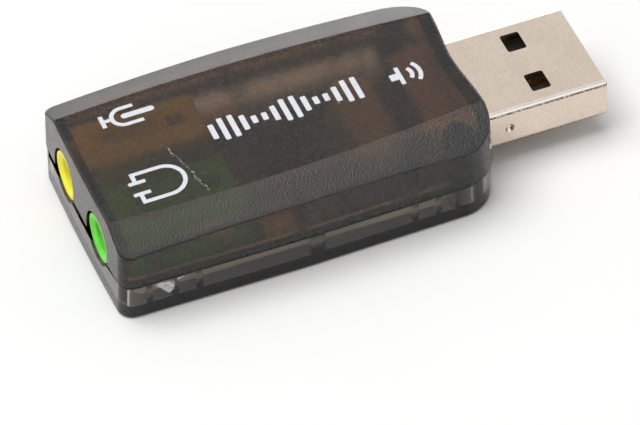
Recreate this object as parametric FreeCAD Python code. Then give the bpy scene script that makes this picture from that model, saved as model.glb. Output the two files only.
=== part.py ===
"""Sound adapter with a flat plug at one end and two round 3.5 mm jacks at the other.

Millimetres. Lengths along X are counted from the corners of the case's jack end, at the parting line, and
the finished pieces are moved so that the origin is under the middle of the way from there to the plug's
tip, on the underside.
+X points to the plug's tip, +Z is up, and the microphone jack is on the +Y side.
"""
import FreeCAD
import Part
import math
import os

Vector = FreeCAD.Vector

# Overall sizes
CASE_LENGTH = 39.9
CASE_WIDTH = 23.54
CASE_HEIGHT = 10.52
PLUG_REACH = 13.15
PARTING_Z = 4.12

# Case outline: widest a little behind the middle, narrower at both ends, bowed across the jack end and hollow
# across the plug end
MID_PLACE = 0.461
NARROWING_JACK = 0.22
NARROWING_PLUG = 0.42
JACK_CORNER_RADIUS = 1.5
MID_RADIUS = 120.0
PLUG_CORNER_RADIUS = 4.3
JACK_END_BOW = 0.15
PLUG_END_HOLLOW = 0.52
INNER_CORNER_RADIUS = 0.4
SIDE_DRAFT_DEG = 1.0
END_DRAFT_DEG = 3.0
LOWER_STEP = 0.08
BOTTOM_EDGE_RADIUS = 0.3
TOP_EDGE_RADIUS = 0.25

# Case walls, and the sloping sides of the upper case: width of each slope in plan and how far it falls
WALL = 1.3
ROOF = 1.3
FLOOR = 1.0
TOP_FALL_JACK = 0.64
SLOPE_RUN_JACK = 3.8
SLOPE_RUN_MID = 3.6
SLOPE_RUN_PLUG = 4.55
SLOPE_FALL_JACK = 1.96
SLOPE_FALL_MID = 1.4
SLOPE_FALL_PLUG = 2.37

# Joint between the case halves
PARTING_GAP = 0.18
LIP_HEIGHT = 0.7
LIP_THICKNESS = 0.55
LIP_CLEARANCE = 0.06
JACK_END_GAP = 0.85
JACK_END_GAP_HEADPHONE_SIDE = 0.15
JACK_END_GAP_MARGIN = 1.75
PEG_SETBACK = 3.9
PEG_MARGIN = 2.45
PEG_RADIUS = 1.0
PEG_BOSS_RADIUS = 1.6
PEG_SOCKET_RADIUS = 1.65
PEG_CLEARANCE = 0.05
PEG_TIP_GAP = 0.9
PEG_SHOULDER_GAP = 0.1
EJECTOR_MARK_SETBACK = 6.5
EJECTOR_MARK_MARGIN = 5.05
EJECTOR_MARK_RADIUS = 1.5
EJECTOR_MARK_DEPTH = 0.12

# Ribs on the inside of the side walls: those beside the jacks are counted from the housings' front
MID_RIB_OFFSET = 0.4
PLUG_RIB_SETBACK = 9.4
ROOF_RIB_THICKNESS = 0.85
ROOF_RIB_DEPTH = 1.3
ROOF_RIB_BOARD_GAP = 0.4
JACK_FLOOR_RIB_PLACES = (1.35, 3.95, 6.45)
PLUG_FLOOR_RIB_SETBACKS = (9.3, 6.9)
FLOOR_RIB_THICKNESS = 0.6
FLOOR_RIB_RISE = 1.0
FLOOR_STOP_OFFSET = 1.9
FLOOR_STOP_THICKNESS = 1.5
BOARD_SHELF = 0.45

# Circuit board
BOARD_THICKNESS = 0.8
BOARD_FLOOR_GAP = 0.7
BOARD_NOSE_GAP = 0.1
BOARD_NECK_SETBACK = 6.3
BOARD_PLUG_END_GAP = 0.3
BOARD_MARGIN = 0.97
BOARD_NECK_HALF_WIDTH = 6.9
BOARD_CORNER_CUT = 0.6
BOARD_SIDE_CLEARANCE = 0.1
PIN_HOLE_CLEARANCE = 0.1
PIN_FLOOR_GAP = 0.1
SOLDER_FOOT = 0.3
SOLDER_TIP = 0.1
SOLDER_HEIGHT = 0.5

# Plug
PLUG_WIDTH = 12.0
PLUG_HEIGHT = 4.5
PLUG_SHEET = 0.3
PLUG_CORNER = 0.64
PLUG_LENGTH = 18.8
PLUG_SEAM = 0.08
PLUG_FRONT_EDGE = 0.1
PLUG_OPENING_CLEARANCE = 0.12
WINDOW_LENGTH = 2.0
WINDOW_WIDTH = 2.5
WINDOW_CORNER = 0.25
WINDOW_SETBACK = 5.25
WINDOW_OFFSET_Y = 3.05
DIMPLE_SETBACK = 10.45
DIMPLE_RADIUS = 0.5
DIMPLE_TIP_RADIUS = 0.22
DIMPLE_DEPTH = 0.26
SHELL_LEG_OFFSET = 1.95
SHELL_LEG_WIDTH = 1.6
INSULATOR_CLEARANCE = 0.03
BLOCK_REAR_GAP = 0.4
BLOCK_FRONT_SETBACK = 9.1
TONGUE_SETBACK = 0.45
TONGUE_THICKNESS = 1.95
TONGUE_TIP_CUT = 0.4
CONTACT_WIDTH = 1.0
CONTACT_THICKNESS = 0.2
CONTACT_LEG_GAP = 0.5
POWER_CONTACT_Y = 3.5
DATA_CONTACT_Y = 1.0
POWER_CONTACT_SETBACK = 1.25
DATA_CONTACT_SETBACK = 2.2

# Jacks: places along a housing are counted from the housing's front
JACK_Y = 4.69
JACK_AXIS_RISE = 2.7
JACK_BORE_RADIUS = 1.8
JACK_MOUTH_CHAMFER = 0.35
NOSE_RADIUS = 2.52
NOSE_RECESS = 0.14
NOSE_HOLE_CLEARANCE = 0.28
HOUSING_WALL_GAP = 0.35
HOUSING_LENGTH = 12.65
HOUSING_WIDTH = 6.4
HOUSING_HEIGHT = 5.25
HOUSING_EDGE = 0.3
CORE_HOLE_PLACES = (3.55, 10.15)
CORE_HOLE_LENGTH = 1.9
CORE_HOLE_WIDTH = 1.3
SPRING_THICKNESS = 0.25
SPRING_HEIGHT = 1.3
SPRING_BORE_GAP = 0.12
SPRING_SLOT_CLEARANCE = 0.15
SPRING_SPAN = 5.0
SPRING_LEAD = 1.2
SPRING_LEAD_FLARE = 0.45
SPRING_TAB_WIDTH = 0.9
TIP_SPRING_TAB_PLACE = 11.35
RING_SPRING_TAB_PLACE = 10.55
SLEEVE_PLACE = 2.7
SLEEVE_WIDTH = 1.2
SLEEVE_THICKNESS = 0.3
SLEEVE_FOOT_RISE = 0.75
SLEEVE_FOOT_REACH = 0.75
SLEEVE_TOP_RISE = 0.65
SLEEVE_BORE_GAP = 0.15

# Parts on the board: places along X are counted from the middle of the chip
CHIP_OFFSET = 3.0
CHIP_SIZE = 7.0
CHIP_HEIGHT = 1.4
CHIP_STANDOFF = 0.1
CHIP_EDGE = 0.25
CHIP_PITCH = 0.5
CHIP_LEADS_PER_SIDE = 12
LEAD_WIDTH = 0.22
LEAD_THICKNESS = 0.15
LEAD_SHOULDER = 0.3
LEAD_FOOT = 0.5
CRYSTAL_SETBACK = 4.65
CRYSTAL_LENGTH = 11.0
CRYSTAL_WIDTH = 4.6
CRYSTAL_HEIGHT = 3.4
CRYSTAL_FLANGE = 0.25
CRYSTAL_FLANGE_HEIGHT = 0.4
CRYSTAL_PIN_PITCH = 4.88
CRYSTAL_PIN_RADIUS = 0.22
REGULATOR_PLACE = (3.1, -7.4)
REGULATOR_LENGTH = 2.9
REGULATOR_WIDTH = 1.3
REGULATOR_HEIGHT = 1.0
REGULATOR_PITCH = 0.95
REGULATOR_LEAD_WIDTH = 0.4
LED_PLACE = (5.6, 8.2)
LED_LENGTH = 2.0
LED_WIDTH = 1.25
LED_BASE_HEIGHT = 0.35
LED_LENS_HEIGHT = 0.45
LED_LENS_INSET = 0.35
TANTALUM_PLACES = ((-4.2, -7.9), (-4.4, 7.4))
TANTALUM_SIZE = (3.2, 1.6, 1.6)
CERAMIC_PLACES = (
    (-5.8, -1.4), (-5.8, 1.4), (-1.4, 6.6), (1.0, 6.6), (-1.0, -6.4), (9.6, 7.9), (9.6, -7.9),
)
CERAMIC_SIZE = (1.6, 0.8, 0.8)
RESISTOR_PLACES = (
    (-5.8, -3.2), (-5.8, 3.2), (3.4, 6.6), (3.4, 8.2), (-1.0, -8.0), (6.2, -7.4), (6.2, -8.6),
)
RESISTOR_SIZE = (1.6, 0.8, 0.45)

# Places that follow from the sizes above
OVERALL_LENGTH = CASE_LENGTH + PLUG_REACH
MID_X = CASE_LENGTH * MID_PLACE
HALF_WIDTH_MID = CASE_WIDTH / 2
HALF_WIDTH_JACK = HALF_WIDTH_MID - NARROWING_JACK
HALF_WIDTH_PLUG = HALF_WIDTH_MID - NARROWING_PLUG
TOP_PLUG_Z = CASE_HEIGHT
TOP_JACK_Z = CASE_HEIGHT - TOP_FALL_JACK
WALL_MIDDLE_Z = (PARTING_Z + TOP_JACK_Z) / 2
BOARD_BOTTOM_Z = FLOOR + BOARD_FLOOR_GAP
BOARD_TOP_Z = BOARD_BOTTOM_Z + BOARD_THICKNESS
BOARD_HALF_WIDTH = HALF_WIDTH_MID - WALL - BOARD_MARGIN
BOARD_NECK_X = CASE_LENGTH - BOARD_NECK_SETBACK
BOARD_END_X = CASE_LENGTH - WALL - PLUG_END_HOLLOW - BOARD_PLUG_END_GAP
PIN_TIP_Z = FLOOR + PIN_FLOOR_GAP
PEG_X = CASE_LENGTH - PEG_SETBACK
PEG_Y = HALF_WIDTH_PLUG - PEG_MARGIN
PEG_TIP_Z = FLOOR + PEG_TIP_GAP
EJECTOR_MARK_X = CASE_LENGTH - EJECTOR_MARK_SETBACK
EJECTOR_MARK_Y = HALF_WIDTH_PLUG - EJECTOR_MARK_MARGIN
ROOF_RIB_XS = (MID_X + MID_RIB_OFFSET, CASE_LENGTH - PLUG_RIB_SETBACK)
FLOOR_STOP_X = MID_X + FLOOR_STOP_OFFSET
FLOOR_RIB_TOP_Z = BOARD_TOP_Z + FLOOR_RIB_RISE
PLUG_TIP_X = OVERALL_LENGTH
PLUG_REAR_X = PLUG_TIP_X - PLUG_LENGTH
PLUG_BOTTOM_Z = BOARD_TOP_Z
PLUG_CENTRE_Z = PLUG_BOTTOM_Z + PLUG_HEIGHT / 2
SHELL_LEG_X = PLUG_REAR_X + SHELL_LEG_OFFSET
TONGUE_TOP_Z = PLUG_BOTTOM_Z + PLUG_SHEET + INSULATOR_CLEARANCE + TONGUE_THICKNESS
JACK_AXIS_Z = BOARD_TOP_Z + JACK_AXIS_RISE
HOUSING_HALF = HOUSING_WIDTH / 2
HOUSING_START_X = WALL + HOUSING_WALL_GAP
HOUSING_END_X = HOUSING_START_X + HOUSING_LENGTH
BOARD_START_X = HOUSING_START_X + BOARD_NOSE_GAP
JACK_FLOOR_RIB_XS = [HOUSING_START_X + place for place in JACK_FLOOR_RIB_PLACES]
PLUG_FLOOR_RIB_XS = [CASE_LENGTH - setback for setback in PLUG_FLOOR_RIB_SETBACKS]
FLOOR_RIB_XS = JACK_FLOOR_RIB_XS + PLUG_FLOOR_RIB_XS
HOUSING_TOP_Z = BOARD_TOP_Z + HOUSING_HEIGHT
TIP_SPRING_TAB_X = HOUSING_START_X + TIP_SPRING_TAB_PLACE
RING_SPRING_TAB_X = HOUSING_START_X + RING_SPRING_TAB_PLACE
SLEEVE_X = HOUSING_START_X + SLEEVE_PLACE
SLEEVE_FOOT_Z = BOARD_TOP_Z + SLEEVE_FOOT_RISE
SLEEVE_TOP_Z = JACK_AXIS_Z + SLEEVE_TOP_RISE
SLEEVE_TIP_OFFSET = JACK_BORE_RADIUS + SLEEVE_BORE_GAP
CHIP_X = MID_X + CHIP_OFFSET
CRYSTAL_X = PLUG_REAR_X - CRYSTAL_SETBACK

# How far cutting blocks are carried past the faces they cut, and how near two equal places may lie
PAST = 1.0
SAME = 1e-6


def box(x0, x1, y0, y1, z0, z1):
    """Block between two corners, given in any order."""
    low = Vector(min(x0, x1), min(y0, y1), min(z0, z1))
    return Part.makeBox(abs(x1 - x0), abs(y1 - y0), abs(z1 - z0), low)


def block(x, y, size_x, size_y, z0, z1):
    """Block centred on a place in plan."""
    return box(x - size_x / 2, x + size_x / 2, y - size_y / 2, y + size_y / 2, z0, z1)


def rod_x(radius, x0, x1, y, z):
    """Round rod along X."""
    return Part.makeCylinder(radius, x1 - x0, Vector(x0, y, z), Vector(1, 0, 0))


def post_z(radius, x, y, z0, z1):
    """Round post along Z."""
    return Part.makeCylinder(radius, z1 - z0, Vector(x, y, z0))


def cut_all(shape, tools):
    """Shape with every tool taken away."""
    for tool in tools:
        shape = shape.cut(tool)
    return shape


def fuse_all(shapes):
    """One solid of several that touch."""
    return shapes[0].multiFuse(shapes[1:]).removeSplitter()


def rounded_edges(points, radii):
    """Arc at each corner point and line to the next corner, each corner rounded by its own radius."""
    count = len(points)
    entries = []
    for i in range(count):
        corner = points[i]
        back = (points[i - 1] - corner).normalize()
        ahead = (points[(i + 1) % count] - corner).normalize()
        half_angle = back.getAngle(ahead) / 2
        run = radii[i] / math.tan(half_angle)
        bisector = (back + ahead).normalize()
        middle = corner + bisector * (radii[i] / math.sin(half_angle) - radii[i])
        entries.append((corner + back * run, middle, corner + ahead * run))
    edges = []
    for i in range(count):
        start, middle, end = entries[i]
        edges.append(Part.Arc(start, middle, end).toShape())
        edges.append(Part.LineSegment(end, entries[(i + 1) % count][0]).toShape())
    return edges


def rounded_wire(points, radii):
    """Closed wire through corner points, each corner rounded by its own radius."""
    return Part.Wire(rounded_edges(points, radii))


def rounded_plate(x0, x1, y0, y1, z0, z1, radius):
    """Block with rounded upright edges."""
    points = [Vector(x0, y0, z0), Vector(x1, y0, z0), Vector(x1, y1, z0), Vector(x0, y1, z0)]
    face = Part.Face(rounded_wire(points, [radius] * len(points)))
    return face.extrude(Vector(0, 0, z1 - z0))


def polygon_y(points, y0, y1):
    """Outline in X and Z, drawn out along Y."""
    corners = [Vector(x, y0, z) for x, z in points]
    return Part.Face(Part.makePolygon(corners + corners[:1])).extrude(Vector(0, y1 - y0, 0))


def polygon_x(points, x0, x1):
    """Outline in Y and Z, drawn out along X."""
    corners = [Vector(x0, y, z) for y, z in points]
    return Part.Face(Part.makePolygon(corners + corners[:1])).extrude(Vector(x1 - x0, 0, 0))


def polygon_z(points, z0, z1):
    """Outline in X and Y, drawn out along Z."""
    corners = [Vector(x, y, z0) for x, y in points]
    return Part.Face(Part.makePolygon(corners + corners[:1])).extrude(Vector(0, 0, z1 - z0))


def hollow_edge(edge, depth):
    """Curve in place of a straight edge along Y: it leaves both ends along Y and dips back along X."""
    start = edge.Vertexes[0].Point
    end = edge.Vertexes[-1].Point
    middle = (start + end) / 2 - Vector(depth, 0, 0)
    along = end - start
    curve = Part.BSplineCurve()
    curve.interpolate(Points=[start, middle, end], InitialTangent=along, FinalTangent=along)
    return curve.toShape()


def bowed_edge(edge, depth):
    """Arc in place of a straight edge along Y, with its middle moved out along -X."""
    start = edge.Vertexes[0].Point
    end = edge.Vertexes[-1].Point
    middle = (start + end) / 2 - Vector(depth, 0, 0)
    return Part.Arc(start, middle, end).toShape()


def case_outline(jack_inset, plug_inset, side_inset, z):
    """Plan of the case at one height: six rounded corners moved in by the insets, and two curved ends."""
    x0 = jack_inset
    x1 = CASE_LENGTH - plug_inset
    half = [
        (x0, HALF_WIDTH_JACK - side_inset),
        (MID_X, HALF_WIDTH_MID - side_inset),
        (x1, HALF_WIDTH_PLUG - side_inset),
    ]
    points = [Vector(x, -y, z) for x, y in half] + [Vector(x, y, z) for x, y in reversed(half)]
    jack = max(JACK_CORNER_RADIUS - jack_inset, INNER_CORNER_RADIUS)
    plug = max(PLUG_CORNER_RADIUS - plug_inset, INNER_CORNER_RADIUS)
    edges = rounded_edges(points, [jack, MID_RADIUS, plug, plug, MID_RADIUS, jack])
    plug_end = len(edges) // 2 - 1
    edges[plug_end] = hollow_edge(edges[plug_end], PLUG_END_HOLLOW)
    edges[-1] = bowed_edge(edges[-1], JACK_END_BOW)
    return Part.Wire(edges)


def drafted_outline(inset, z):
    """Plan of the case at one height: sides and plug end drafted both ways, jack end one leaning plane."""
    rise = z - PARTING_Z
    lean = math.tan(math.radians(END_DRAFT_DEG))
    jack_inset = inset + rise * lean
    plug_inset = inset + abs(rise) * lean
    side_inset = inset + abs(rise) * math.tan(math.radians(SIDE_DRAFT_DEG))
    return case_outline(jack_inset, plug_inset, side_inset, z)


def case_block(inset, z0, z1):
    """Drafted block with the plan of the case, widest at the parting line."""
    return Part.makeLoft([drafted_outline(inset, z0), drafted_outline(inset, z1)], True, True)


def roof_height(x):
    """Height of the flat top at a place along the case."""
    return TOP_JACK_Z + (TOP_PLUG_Z - TOP_JACK_Z) * x / CASE_LENGTH


def roof_section(x, half_width, run, fall):
    """Flat top and two straight slopes, carried past the side walls."""
    top_z = roof_height(x)
    crease = half_width - run
    edge = HALF_WIDTH_MID + PAST
    edge_z = top_z - (edge - crease) * fall / run
    half = [(edge, -PAST), (edge, edge_z), (crease, top_z)]
    outline = [(-y, z) for y, z in half] + list(reversed(half))
    corners = [Vector(x, y, z) for y, z in outline]
    return Part.makePolygon(corners + corners[:1])


def roof_block():
    """Everything under the flat top and sloping sides of the upper case, with room for the bowed end."""
    sections = [
        roof_section(0, HALF_WIDTH_JACK, SLOPE_RUN_JACK, SLOPE_FALL_JACK),
        roof_section(MID_X, HALF_WIDTH_MID, SLOPE_RUN_MID, SLOPE_FALL_MID),
        roof_section(CASE_LENGTH, HALF_WIDTH_PLUG, SLOPE_RUN_PLUG, SLOPE_FALL_PLUG),
    ]
    bow_room = box(-PAST, PAST, -HALF_WIDTH_MID, HALF_WIDTH_MID, 0, WALL_MIDDLE_Z)
    return Part.makeLoft(sections, True, False).fuse(bow_room)


def upper_edges(shape):
    """Edges round and across the top: all that lie wholly above the middle of the side walls."""
    return [edge for edge in shape.Edges if all(vertex.Z > WALL_MIDDLE_Z for vertex in edge.Vertexes)]


def plug_profile(grow):
    """Plug section as a wire, larger all round by the given amount, at the plug's rear."""
    half_y = PLUG_WIDTH / 2 + grow
    half_z = PLUG_HEIGHT / 2 + grow
    corner = PLUG_CORNER + grow
    x = PLUG_REAR_X
    points = [
        Vector(x, -half_y, PLUG_CENTRE_Z - half_z),
        Vector(x, half_y, PLUG_CENTRE_Z - half_z),
        Vector(x, half_y, PLUG_CENTRE_Z + half_z),
        Vector(x, -half_y, PLUG_CENTRE_Z + half_z),
    ]
    return rounded_wire(points, [corner] * len(points))


def plug_block(grow, length):
    """Solid bar with the plug's section, from the plug's rear forwards."""
    return Part.Face(plug_profile(grow)).extrude(Vector(length, 0, 0))


def jack_openings():
    """Round holes in the jack end, open downwards as far as the parting line."""
    radius = NOSE_RADIUS + NOSE_HOLE_CLEARANCE
    tools = []
    for y in (-JACK_Y, JACK_Y):
        tools.append(rod_x(radius, -PAST, HOUSING_START_X, y, JACK_AXIS_Z))
        tools.append(box(-PAST, HOUSING_START_X, y - radius, y + radius, PARTING_Z, JACK_AXIS_Z))
    return tools


def peg_places():
    """Both press-fit pegs beside the plug."""
    return [(PEG_X, -PEG_Y), (PEG_X, PEG_Y)]


def upper_case():
    """Upper half: drafted walls, sloping sides, roof ribs, pegs, and a rebate for the lower half's lip."""
    roof = roof_block()
    outer = case_block(0, PARTING_Z + PARTING_GAP, TOP_PLUG_Z + PAST).common(roof)
    outer = outer.makeFillet(TOP_EDGE_RADIUS, upper_edges(outer))
    roof.translate(Vector(0, 0, -ROOF / 2))
    mid_wall = case_block(WALL / 2, PARTING_Z, TOP_PLUG_Z + PAST).common(roof)
    roof.translate(Vector(0, 0, -ROOF / 2))
    cavity = case_block(WALL, PARTING_Z, TOP_PLUG_Z + PAST).common(roof)
    rebate_z = PARTING_Z + LIP_HEIGHT + LIP_CLEARANCE
    rebate = case_block(WALL - LIP_THICKNESS - LIP_CLEARANCE, PARTING_Z, rebate_z)
    pieces = [outer.cut(cavity).cut(rebate)]
    rib_low_z = max(rebate_z, BOARD_TOP_Z + ROOF_RIB_BOARD_GAP)
    for x in ROOF_RIB_XS:
        for side in (-1, 1):
            inner_y = side * (HALF_WIDTH_MID - WALL - ROOF_RIB_DEPTH)
            half = ROOF_RIB_THICKNESS / 2
            rib = box(x - half, x + half, inner_y, side * HALF_WIDTH_MID, rib_low_z, TOP_PLUG_Z)
            pieces.append(rib.common(mid_wall))
    for x, y in peg_places():
        boss = post_z(PEG_BOSS_RADIUS, x, y, PARTING_Z + PEG_SHOULDER_GAP, TOP_PLUG_Z).common(mid_wall)
        pieces.append(boss.fuse(post_z(PEG_RADIUS, x, y, PEG_TIP_Z, roof_height(x) - ROOF)))
    shell = fuse_all(pieces)
    mark_z = roof_height(EJECTOR_MARK_X) - ROOF + EJECTOR_MARK_DEPTH
    tools = jack_openings()
    for y in (-EJECTOR_MARK_Y, EJECTOR_MARK_Y):
        tools.append(post_z(EJECTOR_MARK_RADIUS, EJECTOR_MARK_X, y, BOARD_TOP_Z, mark_z))
    tools.append(plug_block(PLUG_OPENING_CLEARANCE, PLUG_LENGTH))
    return cut_all(shell, tools)


def bottom_edges(shape):
    """Edges round the underside."""
    return [edge for edge in shape.Edges if all(abs(vertex.Z) < SAME for vertex in edge.Vertexes)]


def jack_end_gap():
    """Slit between the halves at the jack end: open as far as the headphone jack, closing beyond it."""
    half = HALF_WIDTH_JACK - JACK_END_GAP_MARGIN
    top_z = PARTING_Z + LIP_HEIGHT + PAST
    outline = [
        (-half, PARTING_Z - JACK_END_GAP_HEADPHONE_SIDE),
        (-JACK_Y, PARTING_Z - JACK_END_GAP),
        (half, PARTING_Z - JACK_END_GAP),
        (half, top_z),
        (-half, top_z),
    ]
    return polygon_x(outline, -PAST, HOUSING_START_X)


def lower_case():
    """Lower half: floor with a rounded edge, board ribs, peg sockets and a locating lip."""
    outer = case_block(LOWER_STEP, 0, PARTING_Z)
    outer = outer.makeFillet(BOTTOM_EDGE_RADIUS, bottom_edges(outer))
    lip_z = PARTING_Z + LIP_HEIGHT
    shell = outer.fuse(case_block(WALL - LIP_THICKNESS, PARTING_Z, lip_z))
    shell = shell.cut(case_block(WALL, PARTING_Z, lip_z))
    pieces = [shell.cut(case_block(WALL, FLOOR, PARTING_Z))]
    mid_wall = case_block(WALL / 2, FLOOR / 2, PARTING_Z)
    guide_y = BOARD_HALF_WIDTH + BOARD_SIDE_CLEARANCE
    ribs = [(x, FLOOR_RIB_THICKNESS) for x in FLOOR_RIB_XS] + [(FLOOR_STOP_X, FLOOR_STOP_THICKNESS)]
    for x, thickness in ribs:
        for side in (-1, 1):
            x0 = x - thickness / 2
            x1 = x + thickness / 2
            wall_y = side * HALF_WIDTH_MID
            guide = box(x0, x1, side * guide_y, wall_y, FLOOR / 2, FLOOR_RIB_TOP_Z)
            shelf = box(x0, x1, side * (BOARD_HALF_WIDTH - BOARD_SHELF), wall_y, FLOOR / 2, BOARD_BOTTOM_Z)
            pieces.append(guide.fuse(shelf).common(mid_wall))
    for x, y in peg_places():
        pieces.append(post_z(PEG_SOCKET_RADIUS, x, y, FLOOR / 2, PARTING_Z).common(mid_wall))
    shell = fuse_all(pieces)
    tools = jack_openings()
    tools.append(jack_end_gap())
    for x, y in peg_places():
        tools.append(post_z(PEG_RADIUS + PEG_CLEARANCE, x, y, FLOOR, lip_z + PAST))
        tools.append(post_z(PEG_BOSS_RADIUS + PEG_CLEARANCE, x, y, PARTING_Z, lip_z + PAST))
    tools.append(plug_block(PLUG_OPENING_CLEARANCE, PLUG_LENGTH))
    return cut_all(shell, tools)


def usb_shell():
    """Plug shell: sheet folded to a flat tube, with windows, side dimples, a seam below and two legs."""
    tube = plug_block(0, PLUG_LENGTH)
    front = [edge for edge in tube.Edges if all(abs(v.X - PLUG_TIP_X) < SAME for v in edge.Vertexes)]
    tube = tube.makeChamfer(PLUG_FRONT_EDGE, front)
    tube = tube.cut(plug_block(-PLUG_SHEET, PLUG_LENGTH))
    x1 = PLUG_TIP_X - WINDOW_SETBACK
    x0 = x1 - WINDOW_LENGTH
    low_z = PLUG_BOTTOM_Z - PAST
    high_z = PLUG_BOTTOM_Z + PLUG_HEIGHT + PAST
    half = WINDOW_WIDTH / 2
    tools = []
    for y in (-WINDOW_OFFSET_Y, WINDOW_OFFSET_Y):
        tools.append(rounded_plate(x0, x1, y - half, y + half, low_z, high_z, WINDOW_CORNER))
    tools.append(box(PLUG_REAR_X, PLUG_TIP_X, -PLUG_SEAM / 2, PLUG_SEAM / 2, PLUG_BOTTOM_Z, PLUG_CENTRE_Z))
    shell = cut_all(tube, tools)
    for side in (-1, 1):
        shell = shell.fuse(side_dimple(side, PLUG_WIDTH / 2 - PLUG_SHEET / 2))
        shell = shell.cut(side_dimple(side, PLUG_WIDTH / 2))
        shell = shell.fuse(shell_leg(side))
    return shell.removeSplitter()


def side_dimple(side, y):
    """Cone pressed inwards from one side of the plug."""
    place = Vector(PLUG_TIP_X - DIMPLE_SETBACK, side * y, PLUG_CENTRE_Z)
    return Part.makeCone(DIMPLE_RADIUS, DIMPLE_TIP_RADIUS, DIMPLE_DEPTH, place, Vector(0, -side, 0))


def shell_leg(side):
    """Leg of the plug shell that goes down through the board."""
    y1 = side * PLUG_WIDTH / 2
    y0 = side * (PLUG_WIDTH / 2 - PLUG_SHEET)
    half = SHELL_LEG_WIDTH / 2
    return box(SHELL_LEG_X - half, SHELL_LEG_X + half, y0, y1, PIN_TIP_Z, PLUG_CENTRE_Z)


def usb_contact(y, setback):
    """Plug contact: a strip along the tongue, bent down behind the block and through the board."""
    leg_x = PLUG_REAR_X - CONTACT_LEG_GAP
    low_z = TONGUE_TOP_Z - CONTACT_THICKNESS
    tip_x = PLUG_TIP_X - setback
    outline = [
        (leg_x - CONTACT_THICKNESS, PIN_TIP_Z), (leg_x, PIN_TIP_Z), (leg_x, low_z), (tip_x, low_z),
        (tip_x, TONGUE_TOP_Z), (leg_x - CONTACT_THICKNESS, TONGUE_TOP_Z),
    ]
    return polygon_y(outline, y - CONTACT_WIDTH / 2, y + CONTACT_WIDTH / 2)


def usb_insulator(contacts):
    """Moulded block that fills the plug's rear, with the tongue that carries the contacts."""
    grow = -(PLUG_SHEET + INSULATOR_CLEARANCE)
    core = plug_block(grow, PLUG_LENGTH - TONGUE_SETBACK)
    block_x1 = PLUG_TIP_X - BLOCK_FRONT_SETBACK
    half = PLUG_WIDTH / 2
    core = core.cut(box(block_x1, PLUG_TIP_X, -half, half, TONGUE_TOP_Z, PLUG_BOTTOM_Z + PLUG_HEIGHT))
    core = core.cut(box(PLUG_REAR_X, PLUG_REAR_X + BLOCK_REAR_GAP, -half, half, PLUG_BOTTOM_Z,
                        PLUG_BOTTOM_Z + PLUG_HEIGHT))
    tip_x = PLUG_TIP_X - TONGUE_SETBACK
    cut = TONGUE_TIP_CUT
    corner = [(tip_x - cut, TONGUE_TOP_Z), (tip_x, TONGUE_TOP_Z), (tip_x, TONGUE_TOP_Z - cut)]
    core = core.cut(polygon_y(corner, -half, half))
    for side in (-1, 1):
        core = core.cut(side_dimple(side, PLUG_WIDTH / 2 - PLUG_SHEET / 2))
    return cut_all(core, contacts)


def jack_side(y, towards_middle):
    """+1 or -1: the way along Y from a jack's axis to its inner or outer side."""
    outward = 1 if y > 0 else -1
    return -outward if towards_middle else outward


def spring_run(y, side, tab_x):
    """Plan of a jack spring: from its fixed tab forwards to the bore, then flared out again."""
    near = JACK_BORE_RADIUS + SPRING_BORE_GAP
    far = HOUSING_HALF - SPRING_THICKNESS
    contact_x = tab_x - SPRING_SPAN
    lead_x = contact_x - SPRING_LEAD
    inner = [(tab_x + SPRING_TAB_WIDTH / 2, far), (tab_x - SPRING_TAB_WIDTH / 2, far), (contact_x, near),
             (lead_x, near + SPRING_LEAD_FLARE)]
    outer = [(x, offset + SPRING_THICKNESS) for x, offset in reversed(inner)]
    return [(x, y + side * offset) for x, offset in inner + outer]


def jack_spring(y, side, tab_x):
    """Leaf spring of a jack: an upright strip with a tab that goes down through the board."""
    half = SPRING_HEIGHT / 2
    strip = polygon_z(spring_run(y, side, tab_x), JACK_AXIS_Z - half, JACK_AXIS_Z + half)
    tab = spring_tab(y, side, tab_x, 0, PIN_TIP_Z)
    return strip.fuse(tab).removeSplitter()


def spring_tab(y, side, tab_x, grow, z0):
    """Tab of a jack spring, larger all round in plan by the given amount."""
    half = SPRING_TAB_WIDTH / 2 + grow
    y0 = y + side * (HOUSING_HALF - SPRING_THICKNESS - grow)
    y1 = y + side * (HOUSING_HALF + grow)
    return box(tab_x - half, tab_x + half, y0, y1, z0, JACK_AXIS_Z + SPRING_HEIGHT / 2)


def sleeve_contact(y):
    """Sleeve contact of a jack: a strip through the outer side, down it, out and down through the board."""
    side = jack_side(y, False)
    plate = HOUSING_HALF + SLEEVE_THICKNESS
    reach = plate + SLEEVE_FOOT_REACH
    outline = [
        (SLEEVE_TIP_OFFSET, SLEEVE_TOP_Z), (SLEEVE_TIP_OFFSET, SLEEVE_TOP_Z - SLEEVE_THICKNESS),
        (HOUSING_HALF, SLEEVE_TOP_Z - SLEEVE_THICKNESS), (HOUSING_HALF, SLEEVE_FOOT_Z),
        (reach - SLEEVE_THICKNESS, SLEEVE_FOOT_Z), (reach - SLEEVE_THICKNESS, PIN_TIP_Z), (reach, PIN_TIP_Z),
        (reach, SLEEVE_FOOT_Z + SLEEVE_THICKNESS), (plate, SLEEVE_FOOT_Z + SLEEVE_THICKNESS),
        (plate, SLEEVE_TOP_Z),
    ]
    return polygon_x([(y + side * offset, z) for offset, z in outline],
                     SLEEVE_X - SLEEVE_WIDTH / 2, SLEEVE_X + SLEEVE_WIDTH / 2)


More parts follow.
